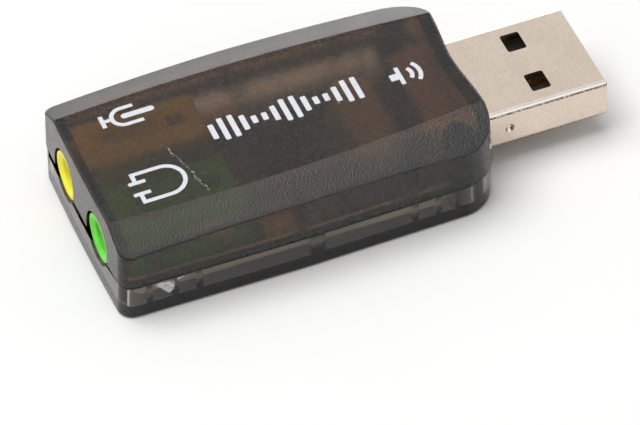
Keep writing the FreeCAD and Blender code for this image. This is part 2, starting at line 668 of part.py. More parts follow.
def jack_housing(y):
    """Jack housing: a block with a round nose, a bore right through, core holes above, and contact slots."""
    body = box(HOUSING_START_X, HOUSING_END_X, y - HOUSING_HALF, y + HOUSING_HALF, BOARD_TOP_Z, HOUSING_TOP_Z)
    top_edges = [edge for edge in body.Edges if all(abs(v.Z - HOUSING_TOP_Z) < SAME for v in edge.Vertexes)]
    body = body.makeChamfer(HOUSING_EDGE, top_edges)
    body = body.fuse(rod_x(NOSE_RADIUS, NOSE_RECESS, HOUSING_START_X, y, JACK_AXIS_Z))
    tools = [rod_x(JACK_BORE_RADIUS, 0, HOUSING_END_X + PAST, y, JACK_AXIS_Z)]
    tools.append(Part.makeCone(JACK_BORE_RADIUS + JACK_MOUTH_CHAMFER, JACK_BORE_RADIUS, JACK_MOUTH_CHAMFER,
                               Vector(NOSE_RECESS, y, JACK_AXIS_Z), Vector(1, 0, 0)))
    for place in CORE_HOLE_PLACES:
        tools.append(block(HOUSING_START_X + place, y, CORE_HOLE_LENGTH, CORE_HOLE_WIDTH, JACK_AXIS_Z,
                           HOUSING_TOP_Z + PAST))
    for side, tab_x in spring_places(y):
        tools.append(spring_slot(y, side, tab_x))
        tools.append(spring_tab(y, side, tab_x, PIN_HOLE_CLEARANCE, BOARD_TOP_Z))
    side = jack_side(y, False)
    half = SLEEVE_WIDTH / 2 + PIN_HOLE_CLEARANCE
    inner_y = y + side * JACK_BORE_RADIUS / 2
    outer_y = y + side * (HOUSING_HALF + PAST)
    tools.append(box(SLEEVE_X - half, SLEEVE_X + half, inner_y, outer_y,
                     SLEEVE_TOP_Z - SLEEVE_THICKNESS - PIN_HOLE_CLEARANCE, SLEEVE_TOP_Z + PIN_HOLE_CLEARANCE))
    return cut_all(body, tools).removeSplitter()


def spring_places(y):
    """Side and tab place of a jack's tip spring and ring spring."""
    return [(jack_side(y, True), TIP_SPRING_TAB_X), (jack_side(y, False), RING_SPRING_TAB_X)]


def spring_slot(y, side, tab_x):
    """Room in a jack housing for one leaf spring, open to the bore and to the side."""
    x0 = tab_x - SPRING_SPAN - SPRING_LEAD - SPRING_SLOT_CLEARANCE
    x1 = tab_x + SPRING_TAB_WIDTH / 2 + PIN_HOLE_CLEARANCE
    half = SPRING_HEIGHT / 2 + SPRING_SLOT_CLEARANCE
    inner_y = y + side * JACK_BORE_RADIUS / 2
    outer_y = y + side * (HOUSING_HALF + PAST)
    return box(x0, x1, inner_y, outer_y, JACK_AXIS_Z - half, JACK_AXIS_Z + half)


def through_pins():
    """Each pin that goes through the board: its centre, and its size along X and Y."""
    pins = []
    crystal_pin = 2 * CRYSTAL_PIN_RADIUS
    leg_x = PLUG_REAR_X - CONTACT_LEG_GAP - CONTACT_THICKNESS / 2
    for y in (-POWER_CONTACT_Y, -DATA_CONTACT_Y, DATA_CONTACT_Y, POWER_CONTACT_Y):
        pins.append((leg_x, y, CONTACT_THICKNESS, CONTACT_WIDTH))
    for side in (-1, 1):
        pins.append((SHELL_LEG_X, side * (PLUG_WIDTH - PLUG_SHEET) / 2, SHELL_LEG_WIDTH, PLUG_SHEET))
        pins.append((CRYSTAL_X, side * CRYSTAL_PIN_PITCH / 2, crystal_pin, crystal_pin))
    for y in (-JACK_Y, JACK_Y):
        for side, tab_x in spring_places(y):
            tab_y = y + side * (HOUSING_HALF - SPRING_THICKNESS / 2)
            pins.append((tab_x, tab_y, SPRING_TAB_WIDTH, SPRING_THICKNESS))
        reach = HOUSING_HALF + SLEEVE_FOOT_REACH + SLEEVE_THICKNESS / 2
        pins.append((SLEEVE_X, y + jack_side(y, False) * reach, SLEEVE_WIDTH, SLEEVE_THICKNESS))
    return pins


def pin_column(pin, grow, z0, z1):
    """Upright bar with a pin's section, larger all round by the given amount."""
    x, y, size_x, size_y = pin
    return block(x, y, size_x + 2 * grow, size_y + 2 * grow, z0, z1)


def circuit_board():
    """Board with a neck under the plug and a plated slot for each pin."""
    cut = BOARD_CORNER_CUT
    half = [(BOARD_START_X, BOARD_HALF_WIDTH - cut), (BOARD_START_X + cut, BOARD_HALF_WIDTH),
            (BOARD_NECK_X, BOARD_HALF_WIDTH), (BOARD_NECK_X, BOARD_NECK_HALF_WIDTH),
            (BOARD_END_X, BOARD_NECK_HALF_WIDTH)]
    outline = [(x, -y) for x, y in half] + list(reversed(half))
    board = polygon_z(outline, BOARD_BOTTOM_Z, BOARD_TOP_Z)
    holes = [pin_column(pin, PIN_HOLE_CLEARANCE, 0, BOARD_TOP_Z + PAST) for pin in through_pins()]
    return cut_all(board, holes)


def solder_section(pin, grow, z):
    """Rounded outline round a pin at one height."""
    x, y, size_x, size_y = pin
    half_x = size_x / 2 + grow
    half_y = size_y / 2 + grow
    points = [Vector(x - half_x, y - half_y, z), Vector(x + half_x, y - half_y, z),
              Vector(x + half_x, y + half_y, z), Vector(x - half_x, y + half_y, z)]
    return rounded_wire(points, [grow] * len(points))


def solder_joints():
    """Solder fillet round each pin under the board."""
    joints = []
    for pin in through_pins():
        foot = solder_section(pin, SOLDER_FOOT, BOARD_BOTTOM_Z)
        tip = solder_section(pin, SOLDER_TIP, BOARD_BOTTOM_Z - SOLDER_HEIGHT)
        cone = Part.makeLoft([tip, foot], True, True)
        joints.append(cone.cut(pin_column(pin, 0, 0, BOARD_TOP_Z)))
    return Part.makeCompound(joints)


def gull_lead(x, y, turn_deg, reach, top_z, width):
    """Bent lead that leaves a chip body outwards and stands on the board."""
    drop_x = reach + LEAD_SHOULDER
    foot_x = drop_x + LEAD_FOOT
    foot_z = BOARD_TOP_Z + LEAD_THICKNESS
    outline = [
        (reach, top_z), (drop_x, top_z), (drop_x, foot_z), (foot_x, foot_z),
        (foot_x, BOARD_TOP_Z), (drop_x - LEAD_THICKNESS, BOARD_TOP_Z),
        (drop_x - LEAD_THICKNESS, top_z - LEAD_THICKNESS), (reach, top_z - LEAD_THICKNESS),
    ]
    lead = polygon_y(outline, y - width / 2, y + width / 2)
    lead.rotate(Vector(0, 0, 0), Vector(0, 0, 1), turn_deg)
    lead.translate(Vector(x, 0, 0))
    return lead


def audio_chip():
    """Square chip body with chamfered edges."""
    half = CHIP_SIZE / 2
    z0 = BOARD_TOP_Z + CHIP_STANDOFF
    body = box(CHIP_X - half, CHIP_X + half, -half, half, z0, z0 + CHIP_HEIGHT)
    return body.makeChamfer(CHIP_EDGE, body.Edges)


def audio_chip_leads():
    """Row of bent leads on each side of the chip."""
    top_z = BOARD_TOP_Z + CHIP_STANDOFF + (CHIP_HEIGHT + LEAD_THICKNESS) / 2
    first = -CHIP_PITCH * (CHIP_LEADS_PER_SIDE - 1) / 2
    leads = []
    for turn_deg in (0, 90, 180, 270):
        for i in range(CHIP_LEADS_PER_SIDE):
            y = first + i * CHIP_PITCH
            leads.append(gull_lead(CHIP_X, y, turn_deg, CHIP_SIZE / 2, top_z, LEAD_WIDTH))
    return Part.makeCompound(leads)


def crystal_can():
    """Long rounded metal can with a thin flange, standing on the board."""
    half_x = CRYSTAL_WIDTH / 2
    half_y = CRYSTAL_LENGTH / 2
    top_z = BOARD_TOP_Z + CRYSTAL_HEIGHT
    grow = CRYSTAL_FLANGE
    x0 = CRYSTAL_X - half_x
    x1 = CRYSTAL_X + half_x
    flange_z = BOARD_TOP_Z + CRYSTAL_FLANGE_HEIGHT
    can = rounded_plate(x0, x1, -half_y, half_y, BOARD_TOP_Z, top_z, half_x - INNER_CORNER_RADIUS)
    flange = rounded_plate(x0 - grow, x1 + grow, -half_y - grow, half_y + grow, BOARD_TOP_Z, flange_z, half_x)
    top = [edge for edge in can.Edges if all(abs(v.Z - top_z) < SAME for v in edge.Vertexes)]
    return can.makeFillet(INNER_CORNER_RADIUS, top).fuse(flange).removeSplitter()


def crystal_leads():
    """Two round pins of the crystal."""
    pins = []
    for side in (-1, 1):
        y = side * CRYSTAL_PIN_PITCH / 2
        pins.append(post_z(CRYSTAL_PIN_RADIUS, CRYSTAL_X, y, PIN_TIP_Z, BOARD_TOP_Z))
    return Part.makeCompound(pins)


def regulator_body():
    """Small three-lead regulator body."""
    place, y = REGULATOR_PLACE
    z0 = BOARD_TOP_Z + CHIP_STANDOFF
    return block(CHIP_X + place, y, REGULATOR_WIDTH, REGULATOR_LENGTH, z0, z0 + REGULATOR_HEIGHT)


def regulator_leads():
    """Two leads on one side of the regulator and one on the other."""
    place, y = REGULATOR_PLACE
    top_z = BOARD_TOP_Z + CHIP_STANDOFF + (REGULATOR_HEIGHT + LEAD_THICKNESS) / 2
    leads = []
    for turn_deg, offset in ((0, -REGULATOR_PITCH), (0, REGULATOR_PITCH), (180, 0)):
        lead = gull_lead(CHIP_X + place, offset, turn_deg, REGULATOR_WIDTH / 2, top_z, REGULATOR_LEAD_WIDTH)
        lead.translate(Vector(0, y, 0))
        leads.append(lead)
    return Part.makeCompound(leads)


def status_light():
    """Small light: a base plate with a lens block on it."""
    place, y = LED_PLACE
    x = CHIP_X + place
    base_z = BOARD_TOP_Z + LED_BASE_HEIGHT
    base = block(x, y, LED_LENGTH, LED_WIDTH, BOARD_TOP_Z, base_z)
    lens = block(x, y, LED_LENGTH - 2 * LED_LENS_INSET, LED_WIDTH, base_z, base_z + LED_LENS_HEIGHT)
    return base.fuse(lens).removeSplitter()


def chip_blocks(places, size):
    """Like-sized chip parts standing on the board."""
    length, width, height = size
    blocks = []
    for place, y in places:
        blocks.append(block(CHIP_X + place, y, length, width, BOARD_TOP_Z, BOARD_TOP_Z + height))
    return Part.makeCompound(blocks)


def save(name, shape):
    """Move a finished piece to the object's frame and write it."""
    piece = shape.copy()
    piece.translate(Vector(-OVERALL_LENGTH / 2, 0, 0))
    if not piece.isValid():
        raise ValueError(name + " is not a valid shape")
    piece.exportStep(os.path.join("parts", name + ".step"))
    print(name, len(piece.Solids), round(piece.Volume, 3))


os.makedirs("parts", exist_ok=True)

save("upper_case", upper_case())
save("lower_case", lower_case())
save("circuit_board", circuit_board())
save("solder_joints", solder_joints())

usb_contacts = {
    "usb_contact_power": usb_contact(-POWER_CONTACT_Y, POWER_CONTACT_SETBACK),
    "usb_contact_data_minus": usb_contact(-DATA_CONTACT_Y, DATA_CONTACT_SETBACK),
    "usb_contact_data_plus": usb_contact(DATA_CONTACT_Y, DATA_CONTACT_SETBACK),
    "usb_contact_ground": usb_contact(POWER_CONTACT_Y, POWER_CONTACT_SETBACK),
}
save("usb_shell", usb_shell())
save("usb_insulator", usb_insulator(list(usb_contacts.values())))
for contact_name, contact in usb_contacts.items():
    save(contact_name, contact)

for jack_name, jack_y in (("microphone", JACK_Y), ("headphone", -JACK_Y)):
    save(jack_name + "_jack_housing", jack_housing(jack_y))
    save(jack_name + "_tip_spring", jack_spring(jack_y, jack_side(jack_y, True), TIP_SPRING_TAB_X))
    save(jack_name + "_ring_spring", jack_spring(jack_y, jack_side(jack_y, False), RING_SPRING_TAB_X))
    save(jack_name + "_sleeve_contact", sleeve_contact(jack_y))

save("audio_chip", audio_chip())
save("audio_chip_leads", audio_chip_leads())
save("crystal_can", crystal_can())
save("crystal_leads", crystal_leads())
save("regulator_body", regulator_body())
save("regulator_leads", regulator_leads())
save("status_light", status_light())
save("tantalum_capacitors", chip_blocks(TANTALUM_PLACES, TANTALUM_SIZE))
save("ceramic_capacitors", chip_blocks(CERAMIC_PLACES, CERAMIC_SIZE))
save("chip_resistors", chip_blocks(RESISTOR_PLACES, RESISTOR_SIZE))
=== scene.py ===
"""Looks of a small sound adapter in smoke-tinted plastic: flat plug at one end, two jacks at the other."""
import math

import bmesh
import bpy
from mathutils import Euler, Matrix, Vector, noise
from mathutils.bvhtree import BVHTree


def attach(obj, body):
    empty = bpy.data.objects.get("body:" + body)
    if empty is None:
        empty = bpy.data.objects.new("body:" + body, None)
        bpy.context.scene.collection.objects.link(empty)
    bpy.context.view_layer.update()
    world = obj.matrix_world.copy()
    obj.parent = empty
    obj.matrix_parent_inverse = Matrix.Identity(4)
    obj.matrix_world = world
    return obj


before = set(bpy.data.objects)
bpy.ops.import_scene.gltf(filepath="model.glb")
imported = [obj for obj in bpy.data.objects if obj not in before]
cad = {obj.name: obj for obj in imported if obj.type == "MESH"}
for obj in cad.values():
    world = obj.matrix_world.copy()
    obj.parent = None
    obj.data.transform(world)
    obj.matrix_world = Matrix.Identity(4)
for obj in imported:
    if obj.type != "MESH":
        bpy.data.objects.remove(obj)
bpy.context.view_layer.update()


# Circuit board: thin glass-cloth laminate under green solder mask, with tinned holes that carry the signals
# from one side to the other. It lies on ribs of the lower case and everything else is soldered to it.
MM = 0.001
MERGE_DISTANCE = MM / 1000


def put(tree, kind, settings, inputs):
    """Adds a node with its settings; an input is either a value or the socket that feeds it."""
    node = tree.nodes.new(kind)
    for key, value in settings.items():
        setattr(node, key, value)
    for key, value in inputs.items():
        if isinstance(value, bpy.types.NodeSocket):
            tree.links.new(value, node.inputs[key])
        else:
            node.inputs[key].default_value = value
    return node


def calculate(tree, operation, *values):
    """Adds a math node and returns its result; each value is a number or the socket that feeds it."""
    return put(tree, "ShaderNodeMath", {"operation": operation}, dict(enumerate(values))).outputs[0]


def shader_group(name, inputs, outputs):
    """Empty shader node group with named sockets; returns it with the nodes at its two ends."""
    group = bpy.data.node_groups.new(name, "ShaderNodeTree")
    for label, kind in inputs:
        group.interface.new_socket(label, in_out="INPUT", socket_type=kind)
    for label, kind in outputs:
        group.interface.new_socket(label, in_out="OUTPUT", socket_type=kind)
    return group, group.nodes.new("NodeGroupInput"), group.nodes.new("NodeGroupOutput")


PATCH_DETAIL = 5.0
PATCH_ROUGHNESS = 0.6
PATCH_LOW = 0.32
PATCH_HIGH = 0.68


def mottle_group():
    """Two colours in soft patches, as dye, plating and mask are never quite even."""
    group, given, result = shader_group(
        "Mottle",
        [("Dark", "NodeSocketColor"), ("Light", "NodeSocketColor"), ("Patch scale", "NodeSocketFloat")],
        [("Colour", "NodeSocketColor"), ("Mask", "NodeSocketFloat")],
    )
    place = put(group, "ShaderNodeTexCoord", {}, {})
    patches = put(group, "ShaderNodeTexNoise", {}, {
        "Vector": place.outputs["Object"], "Scale": given.outputs["Patch scale"],
        "Detail": PATCH_DETAIL, "Roughness": PATCH_ROUGHNESS})
    spread = put(group, "ShaderNodeMapRange", {}, {
        "Value": patches.outputs["Fac"], "From Min": PATCH_LOW, "From Max": PATCH_HIGH})
    blend = put(group, "ShaderNodeMix", {"data_type": "RGBA"}, {
        0: spread.outputs["Result"], 6: given.outputs["Dark"], 7: given.outputs["Light"]})
    group.links.new(blend.outputs[2], result.inputs["Colour"])
    group.links.new(spread.outputs["Result"], result.inputs["Mask"])
    return group


GRAIN_DETAIL = 3.0
GRAIN_ROUGHNESS = 0.55
GRAIN_LOW = 0.5
GRAIN_HIGH = 1.0
WIDE_GRAIN_DETAIL = 2.0
WIDE_GRAIN_SCALE = 0.12
WIDE_GRAIN_WEIGHT = 0.5


def grain_group():
    """Fine moulded or plated grain: a height for the bump and a roughness that follows it."""
    group, given, result = shader_group(
        "Grain",
        [("Grain scale", "NodeSocketFloat"), ("Roughness low", "NodeSocketFloat"),
         ("Roughness high", "NodeSocketFloat")],
        [("Height", "NodeSocketFloat"), ("Roughness", "NodeSocketFloat")],
    )
    place = put(group, "ShaderNodeTexCoord", {}, {})
    fine = put(group, "ShaderNodeTexNoise", {}, {
        "Vector": place.outputs["Object"], "Scale": given.outputs["Grain scale"],
        "Detail": GRAIN_DETAIL, "Roughness": GRAIN_ROUGHNESS})
    wide_scale = calculate(group, "MULTIPLY", given.outputs["Grain scale"], WIDE_GRAIN_SCALE)
    wide = put(group, "ShaderNodeTexNoise", {}, {
        "Vector": place.outputs["Object"], "Scale": wide_scale, "Detail": WIDE_GRAIN_DETAIL})
    height = calculate(group, "MULTIPLY_ADD", wide.outputs["Fac"], WIDE_GRAIN_WEIGHT, fine.outputs["Fac"])
    shine = put(group, "ShaderNodeMapRange", {}, {
        "Value": height, "From Min": GRAIN_LOW, "From Max": GRAIN_HIGH,
        "To Min": given.outputs["Roughness low"], "To Max": given.outputs["Roughness high"]})
    group.links.new(height, result.inputs["Height"])
    group.links.new(shine.outputs["Result"], result.inputs["Roughness"])
    return group


MOTTLE = mottle_group()
GRAIN = grain_group()


def plain_finish(name, dark, light, patch_scale, grain_scale, roughness, grain_depth, metallic=0):
    """Material with uneven colour and fine grain; returns it with its node tree and its shader."""
    material = bpy.data.materials.new(name)
    material.use_nodes = True
    tree = material.node_tree
    shader = tree.nodes["Principled BSDF"]
    shader.inputs["Metallic"].default_value = metallic
    colour = put(tree, "ShaderNodeGroup", {"node_tree": MOTTLE}, {
        "Dark": (*dark, 1), "Light": (*light, 1), "Patch scale": patch_scale})
    grain = put(tree, "ShaderNodeGroup", {"node_tree": GRAIN}, {
        "Grain scale": grain_scale, "Roughness low": roughness[0], "Roughness high": roughness[1]})
    bump = put(tree, "ShaderNodeBump", {}, {
        "Strength": 1.0, "Distance": grain_depth, "Height": grain.outputs["Height"]})
    tree.links.new(colour.outputs["Colour"], shader.inputs["Base Color"])
    tree.links.new(grain.outputs["Roughness"], shader.inputs["Roughness"])
    tree.links.new(bump.outputs["Normal"], shader.inputs["Normal"])
    return material, tree, shader


def finish_node(name, material):
    """Gives a carried-over CAD node its finish."""
    for slot in cad[name].material_slots:
        slot.material = material


MASK_DARK = (0.008, 0.045, 0.016)
MASK_LIGHT = (0.014, 0.085, 0.030)
TRACK_COLOUR = (0.026, 0.150, 0.055)
LAMINATE_COLOUR = (0.44, 0.40, 0.30)
TRACK_SCALE = 900.0
TRACK_STEP = 0.5
TRACK_WIDTH = 0.012
TRACK_RUN = 4.5
TRACK_SHIFT = 0.37
TRACK_SQUASH = 1.7
TINNED_DARK = (0.46, 0.45, 0.42)
TINNED_LIGHT = (0.72, 0.71, 0.68)

board_mask, tree, shader = plain_finish(
    "Board mask", MASK_DARK, MASK_LIGHT, patch_scale=500, grain_scale=9000,
    roughness=(0.25, 0.4), grain_depth=4e-6)
place = put(tree, "ShaderNodeTexCoord", {}, {})
runs = put(tree, "ShaderNodeTexBrick", {"offset": TRACK_SHIFT, "squash": TRACK_SQUASH}, {
    "Vector": place.outputs["Object"], "Scale": TRACK_SCALE, "Mortar Size": TRACK_WIDTH,
    "Brick Width": TRACK_RUN, "Row Height": TRACK_STEP,
    "Color1": (0, 0, 0, 1), "Color2": (0, 0, 0, 1), "Mortar": (1, 1, 1, 1)})
tracks = put(tree, "ShaderNodeMix", {"data_type": "RGBA"}, {0: runs.outputs["Fac"], 7: (*TRACK_COLOUR, 1)})
tree.links.new(shader.inputs["Base Color"].links[0].from_socket, tracks.inputs[6])
facing = put(tree, "ShaderNodeNewGeometry", {}, {})
facing_parts = put(tree, "ShaderNodeSeparateXYZ", {}, {0: facing.outputs["Normal"]})
flatness = calculate(tree, "ABSOLUTE", facing_parts.outputs["Z"])
cut_edge = put(tree, "ShaderNodeMix", {"data_type": "RGBA"}, {
    0: flatness, 6: (*LAMINATE_COLOUR, 1), 7: tracks.outputs[2]})
tree.links.new(cut_edge.outputs[2], shader.inputs["Base Color"])
finish_node("circuit_board", board_mask)

tinned = plain_finish(
    "Tinned copper", TINNED_DARK, TINNED_LIGHT, patch_scale=900, grain_scale=6000,
    roughness=(0.25, 0.45), grain_depth=4e-6, metallic=1)[0]


def geometry_tree(name, inputs):
    """Empty geometry tree with named inputs after its geometry; returns it with the nodes at its two ends."""
    tree = bpy.data.node_groups.new(name, "GeometryNodeTree")
    tree.interface.new_socket("Geometry", in_out="INPUT", socket_type="NodeSocketGeometry")
    for label, kind in inputs:
        tree.interface.new_socket(label, in_out="INPUT", socket_type=kind)
    tree.interface.new_socket("Geometry", in_out="OUTPUT", socket_type="NodeSocketGeometry")
    return tree, tree.nodes.new("NodeGroupInput"), tree.nodes.new("NodeGroupOutput")


def close_tree(tree, given, result, geometry):
    """Ends a geometry tree: instances made real, finish set."""
    real = put(tree, "GeometryNodeRealizeInstances", {}, {"Geometry": geometry})
    painted = put(tree, "GeometryNodeSetMaterial", {}, {
        "Geometry": real.outputs["Geometry"], "Material": given.outputs["Finish"]})
    tree.links.new(painted.outputs["Geometry"], result.inputs["Geometry"])


def grow(name, start, tree, values):
    """Runs a geometry tree on a start mesh and returns the result as a plain piece."""
    piece = bpy.data.objects.new(name, start)
    bpy.context.scene.collection.objects.link(piece)
    modifier = piece.modifiers.new(tree.name, "NODES")
    modifier.node_group = tree
    for item in tree.interface.items_tree:
        if item.item_type == "SOCKET" and item.in_out == "INPUT" and item.name in values:
            modifier[item.identifier] = values[item.name]
    graph = bpy.context.evaluated_depsgraph_get()
    grown = bpy.data.meshes.new_from_object(piece.evaluated_get(graph))
    piece.modifiers.remove(modifier)
    piece.data = grown
    return piece


def fix(piece):
    """A finished piece rides with the case."""
    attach(piece, "root")
    return piece


def point_mesh(name, points):
    """Mesh of loose points, given in millimetres."""
    mesh = bpy.data.meshes.new(name)
    mesh.from_pydata([[value * MM for value in point] for point in points], [], [])
    return mesh


BOARD_TOP_Z = 2.5
VIA_RADIUS = 0.26
VIA_WALL = 0.09
VIA_FLATNESS = 0.35
VIA_SIDES = 14
VIA_WALL_SIDES = 8
VIA_ROWS = (-6.9, -5.2, 5.2, 8.9)
VIA_START_X = -11.0
VIA_STEP = 1.27
VIA_STAGGER = 0.5
VIAS_PER_ROW = 9

via_tree, given, result = geometry_tree("Tinned holes", [
    ("Radius", "NodeSocketFloat"), ("Wall", "NodeSocketFloat"), ("Flatness", "NodeSocketFloat"),
    ("Finish", "NodeSocketMaterial")])
ring = put(via_tree, "GeometryNodeCurvePrimitiveCircle", {}, {
    "Resolution": VIA_SIDES, "Radius": given.outputs["Radius"]})
wall = put(via_tree, "GeometryNodeCurvePrimitiveCircle", {}, {
    "Resolution": VIA_WALL_SIDES, "Radius": given.outputs["Wall"]})
rim = put(via_tree, "GeometryNodeCurveToMesh", {}, {
    "Curve": ring.outputs["Curve"], "Profile Curve": wall.outputs["Curve"]})
squeeze = put(via_tree, "ShaderNodeCombineXYZ", {}, {"X": 1.0, "Y": 1.0, "Z": given.outputs["Flatness"]})
rings = put(via_tree, "GeometryNodeInstanceOnPoints", {}, {
    "Points": given.outputs["Geometry"], "Instance": rim.outputs["Mesh"], "Scale": squeeze.outputs["Vector"]})
close_tree(via_tree, given, result, rings.outputs["Instances"])
via_places = [(VIA_START_X + VIA_STEP * (i + VIA_STAGGER * (row % 2)), y, BOARD_TOP_Z)
              for row, y in enumerate(VIA_ROWS) for i in range(VIAS_PER_ROW)]
vias = grow("board_vias", point_mesh("Via places", via_places), via_tree, {
    "Radius": VIA_RADIUS * MM, "Wall": VIA_WALL * MM, "Flatness": VIA_FLATNESS, "Finish": tinned})
fix(vias)


# Solder under the board: tin alloy melted round every pin and drawn out into small cones.
# Its skin is dull and frosted.
SOLDER_DARK = (0.36, 0.36, 0.37)
SOLDER_LIGHT = (0.74, 0.74, 0.75)
solder_skin = plain_finish(
    "Solder skin", SOLDER_DARK, SOLDER_LIGHT, patch_scale=2500, grain_scale=7000,
    roughness=(0.18, 0.5), grain_depth=1.2e-5, metallic=1)[0]
finish_node("solder_joints", solder_skin)


# Sound chip and voltage regulator: black moulded epoxy with a fine matt grain, on bent tin-plated legs
# that are soldered flat to the board.
EPOXY_DARK = (0.010, 0.010, 0.011)
EPOXY_LIGHT = (0.026, 0.026, 0.028)
epoxy = plain_finish(
    "Black epoxy", EPOXY_DARK, EPOXY_LIGHT, patch_scale=1500, grain_scale=14000,
    roughness=(0.45, 0.65), grain_depth=6e-6)[0]
for name in ("audio_chip", "regulator_body"):
    finish_node(name, epoxy)
for name in ("audio_chip_leads", "regulator_leads"):
    finish_node(name, tinned)


# Crystal: drawn nickel-silver can, welded round its flange, on two wire legs.
CAN_DARK = (0.50, 0.49, 0.46)
CAN_LIGHT = (0.78, 0.77, 0.74)
can_metal = plain_finish(
    "Drawn can metal", CAN_DARK, CAN_LIGHT, patch_scale=700, grain_scale=4000,
    roughness=(0.2, 0.38), grain_depth=3e-6, metallic=1)[0]
finish_node("crystal_can", can_metal)
finish_node("crystal_leads", tinned)


# Status light: a water-clear epoxy lens cast over a white base, unlit.
LENS_DARK = (0.80, 0.84, 0.80)
LENS_LIGHT = (0.95, 0.97, 0.95)
LENS_CLEARNESS = 0.6
LENS_IOR = 1.52
lens, tree, shader = plain_finish(
    "Clear lens", LENS_DARK, LENS_LIGHT, patch_scale=1200, grain_scale=5000,
    roughness=(0.1, 0.25), grain_depth=2e-6)
shader.inputs["Transmission Weight"].default_value = LENS_CLEARNESS
shader.inputs["IOR"].default_value = LENS_IOR
finish_node("status_light", lens)


# Capacitors and resistors: small sintered or moulded blocks, soldered to the board.
# Tinned caps cover both ends of each.
TANTALUM_DARK = (0.62, 0.36, 0.03)
TANTALUM_LIGHT = (0.80, 0.52, 0.07)
CERAMIC_DARK = (0.34, 0.22, 0.12)
CERAMIC_LIGHT = (0.52, 0.36, 0.21)
RESISTOR_DARK = (0.012, 0.012, 0.014)
RESISTOR_LIGHT = (0.035, 0.035, 0.040)
END_CAP_SHARE = 0.22
END_CAP_PROUD = 0.03
END_CAP_CREASE = 0.75
END_CAP_DETAIL = 2

tantalum = plain_finish(
    "Tantalum yellow", TANTALUM_DARK, TANTALUM_LIGHT, patch_scale=1200, grain_scale=8000,
    roughness=(0.4, 0.6), grain_depth=5e-6)[0]
ceramic = plain_finish(
    "Ceramic tan", CERAMIC_DARK, CERAMIC_LIGHT, patch_scale=2500, grain_scale=12000,
    roughness=(0.35, 0.6), grain_depth=5e-6)[0]
resistor = plain_finish(
    "Resistor glaze", RESISTOR_DARK, RESISTOR_LIGHT, patch_scale=2500, grain_scale=12000,
    roughness=(0.2, 0.4), grain_depth=4e-6)[0]
finish_node("tantalum_capacitors", tantalum)
finish_node("ceramic_capacitors", ceramic)
finish_node("chip_resistors", resistor)


def solid_boxes(name):
    """Low and high corner of each separate solid of a CAD node, in metres."""
    joined = bmesh.new()
    joined.from_mesh(cad[name].data)
    bmesh.ops.remove_doubles(joined, verts=joined.verts, dist=MERGE_DISTANCE)
    left = set(joined.verts)
    boxes = []
    while left:
        island = [left.pop()]
        for vertex in island:
            near = [edge.other_vert(vertex) for edge in vertex.link_edges]
            fresh = [other for other in near if other in left]
            island.extend(fresh)
            left.difference_update(fresh)
        low = Vector([min(v.co[axis] for v in island) for axis in range(3)])
        high = Vector([max(v.co[axis] for v in island) for axis in range(3)])
        boxes.append((low, high))
    joined.free()
    return boxes


cap_tree, given, result = geometry_tree("End caps", [
    ("Size", "NodeSocketVector"), ("Crease", "NodeSocketFloat"), ("Finish", "NodeSocketMaterial")])
cap_block = put(cap_tree, "GeometryNodeMeshCube", {}, {"Size": given.outputs["Size"]})
cap_round = put(cap_tree, "GeometryNodeSubdivisionSurface", {}, {
    "Mesh": cap_block.outputs["Mesh"], "Level": END_CAP_DETAIL, "Edge Crease": given.outputs["Crease"]})
caps = put(cap_tree, "GeometryNodeInstanceOnPoints", {}, {
    "Points": given.outputs["Geometry"], "Instance": cap_round.outputs["Mesh"]})
close_tree(cap_tree, given, result, caps.outputs["Instances"])
for name in ("tantalum_capacitors", "ceramic_capacitors", "chip_resistors"):
    places = []
    for low, high in solid_boxes(name):
        size = high - low
        middle = (low + high) / 2
        cap_length = size.x * END_CAP_SHARE
        for end in (-1, 1):
            reach = end * (size.x - cap_length + END_CAP_PROUD * MM) / 2
            places.append([value / MM for value in middle + Vector((reach, 0, END_CAP_PROUD * MM / 2))])
    cap_size = Vector((cap_length, size.y, size.z)) + Vector((0, 1, 1)) * END_CAP_PROUD * MM
    fix(grow(name.replace("capacitors", "end_caps").replace("chip_resistors", "resistor_end_caps"),
             point_mesh(name + " ends", places), cap_tree, {
                 "Size": cap_size, "Crease": END_CAP_CREASE, "Finish": tinned}))


# Jack housings: yellow for the microphone, green for the headphones, moulded in nylon from one tool.
# The dye is strong and the skin satin; their round noses stand in the holes of the case end.
YELLOW_DARK = (0.98, 0.89, 0.04)
YELLOW_LIGHT = (1.0, 0.94, 0.08)
GREEN_DARK = (0.14, 0.70, 0.05)
GREEN_LIGHT = (0.21, 0.82, 0.09)
NYLON_GLOW_RADIUS = (0.6 * MM, 0.5 * MM, 0.25 * MM)
NYLON_GLOW = 0.15

for jack, finish, dark, light in (("microphone", "Yellow nylon", YELLOW_DARK, YELLOW_LIGHT),
                                  ("headphone", "Green nylon", GREEN_DARK, GREEN_LIGHT)):
    nylon, tree, shader = plain_finish(
        finish, dark, light, patch_scale=600, grain_scale=9000,
        roughness=(0.35, 0.5), grain_depth=5e-6)
    shader.inputs["Subsurface Weight"].default_value = NYLON_GLOW
    shader.inputs["Subsurface Radius"].default_value = NYLON_GLOW_RADIUS
    shader.inputs["Subsurface Scale"].default_value = 1.0
    finish_node(jack + "_jack_housing", nylon)


# Jack springs and sleeve contacts: bent tin-plated bronze strip, pressed into the housings, soldered below.
# The foot of each sleeve contact is drowned in a rough drop of hand solder at the board's edge.
STRIP_DARK = (0.48, 0.46, 0.42)
STRIP_LIGHT = (0.75, 0.73, 0.69)
DROP_X = -21.7
DROP_Y = 9.72
DROP_LOW_Z = 1.05
DROP_HIGH_Z = 3.75
DROP_HALF_LENGTH = 1.15
DROP_HALF_DEPTH = 0.42
DROP_FOOT_SHARE = 0.38
DROP_LUMP_SCALE = 2.6
DROP_LUMP = 0.32
DROP_LUMP_SHIFT = 7
DROP_DETAIL = 4

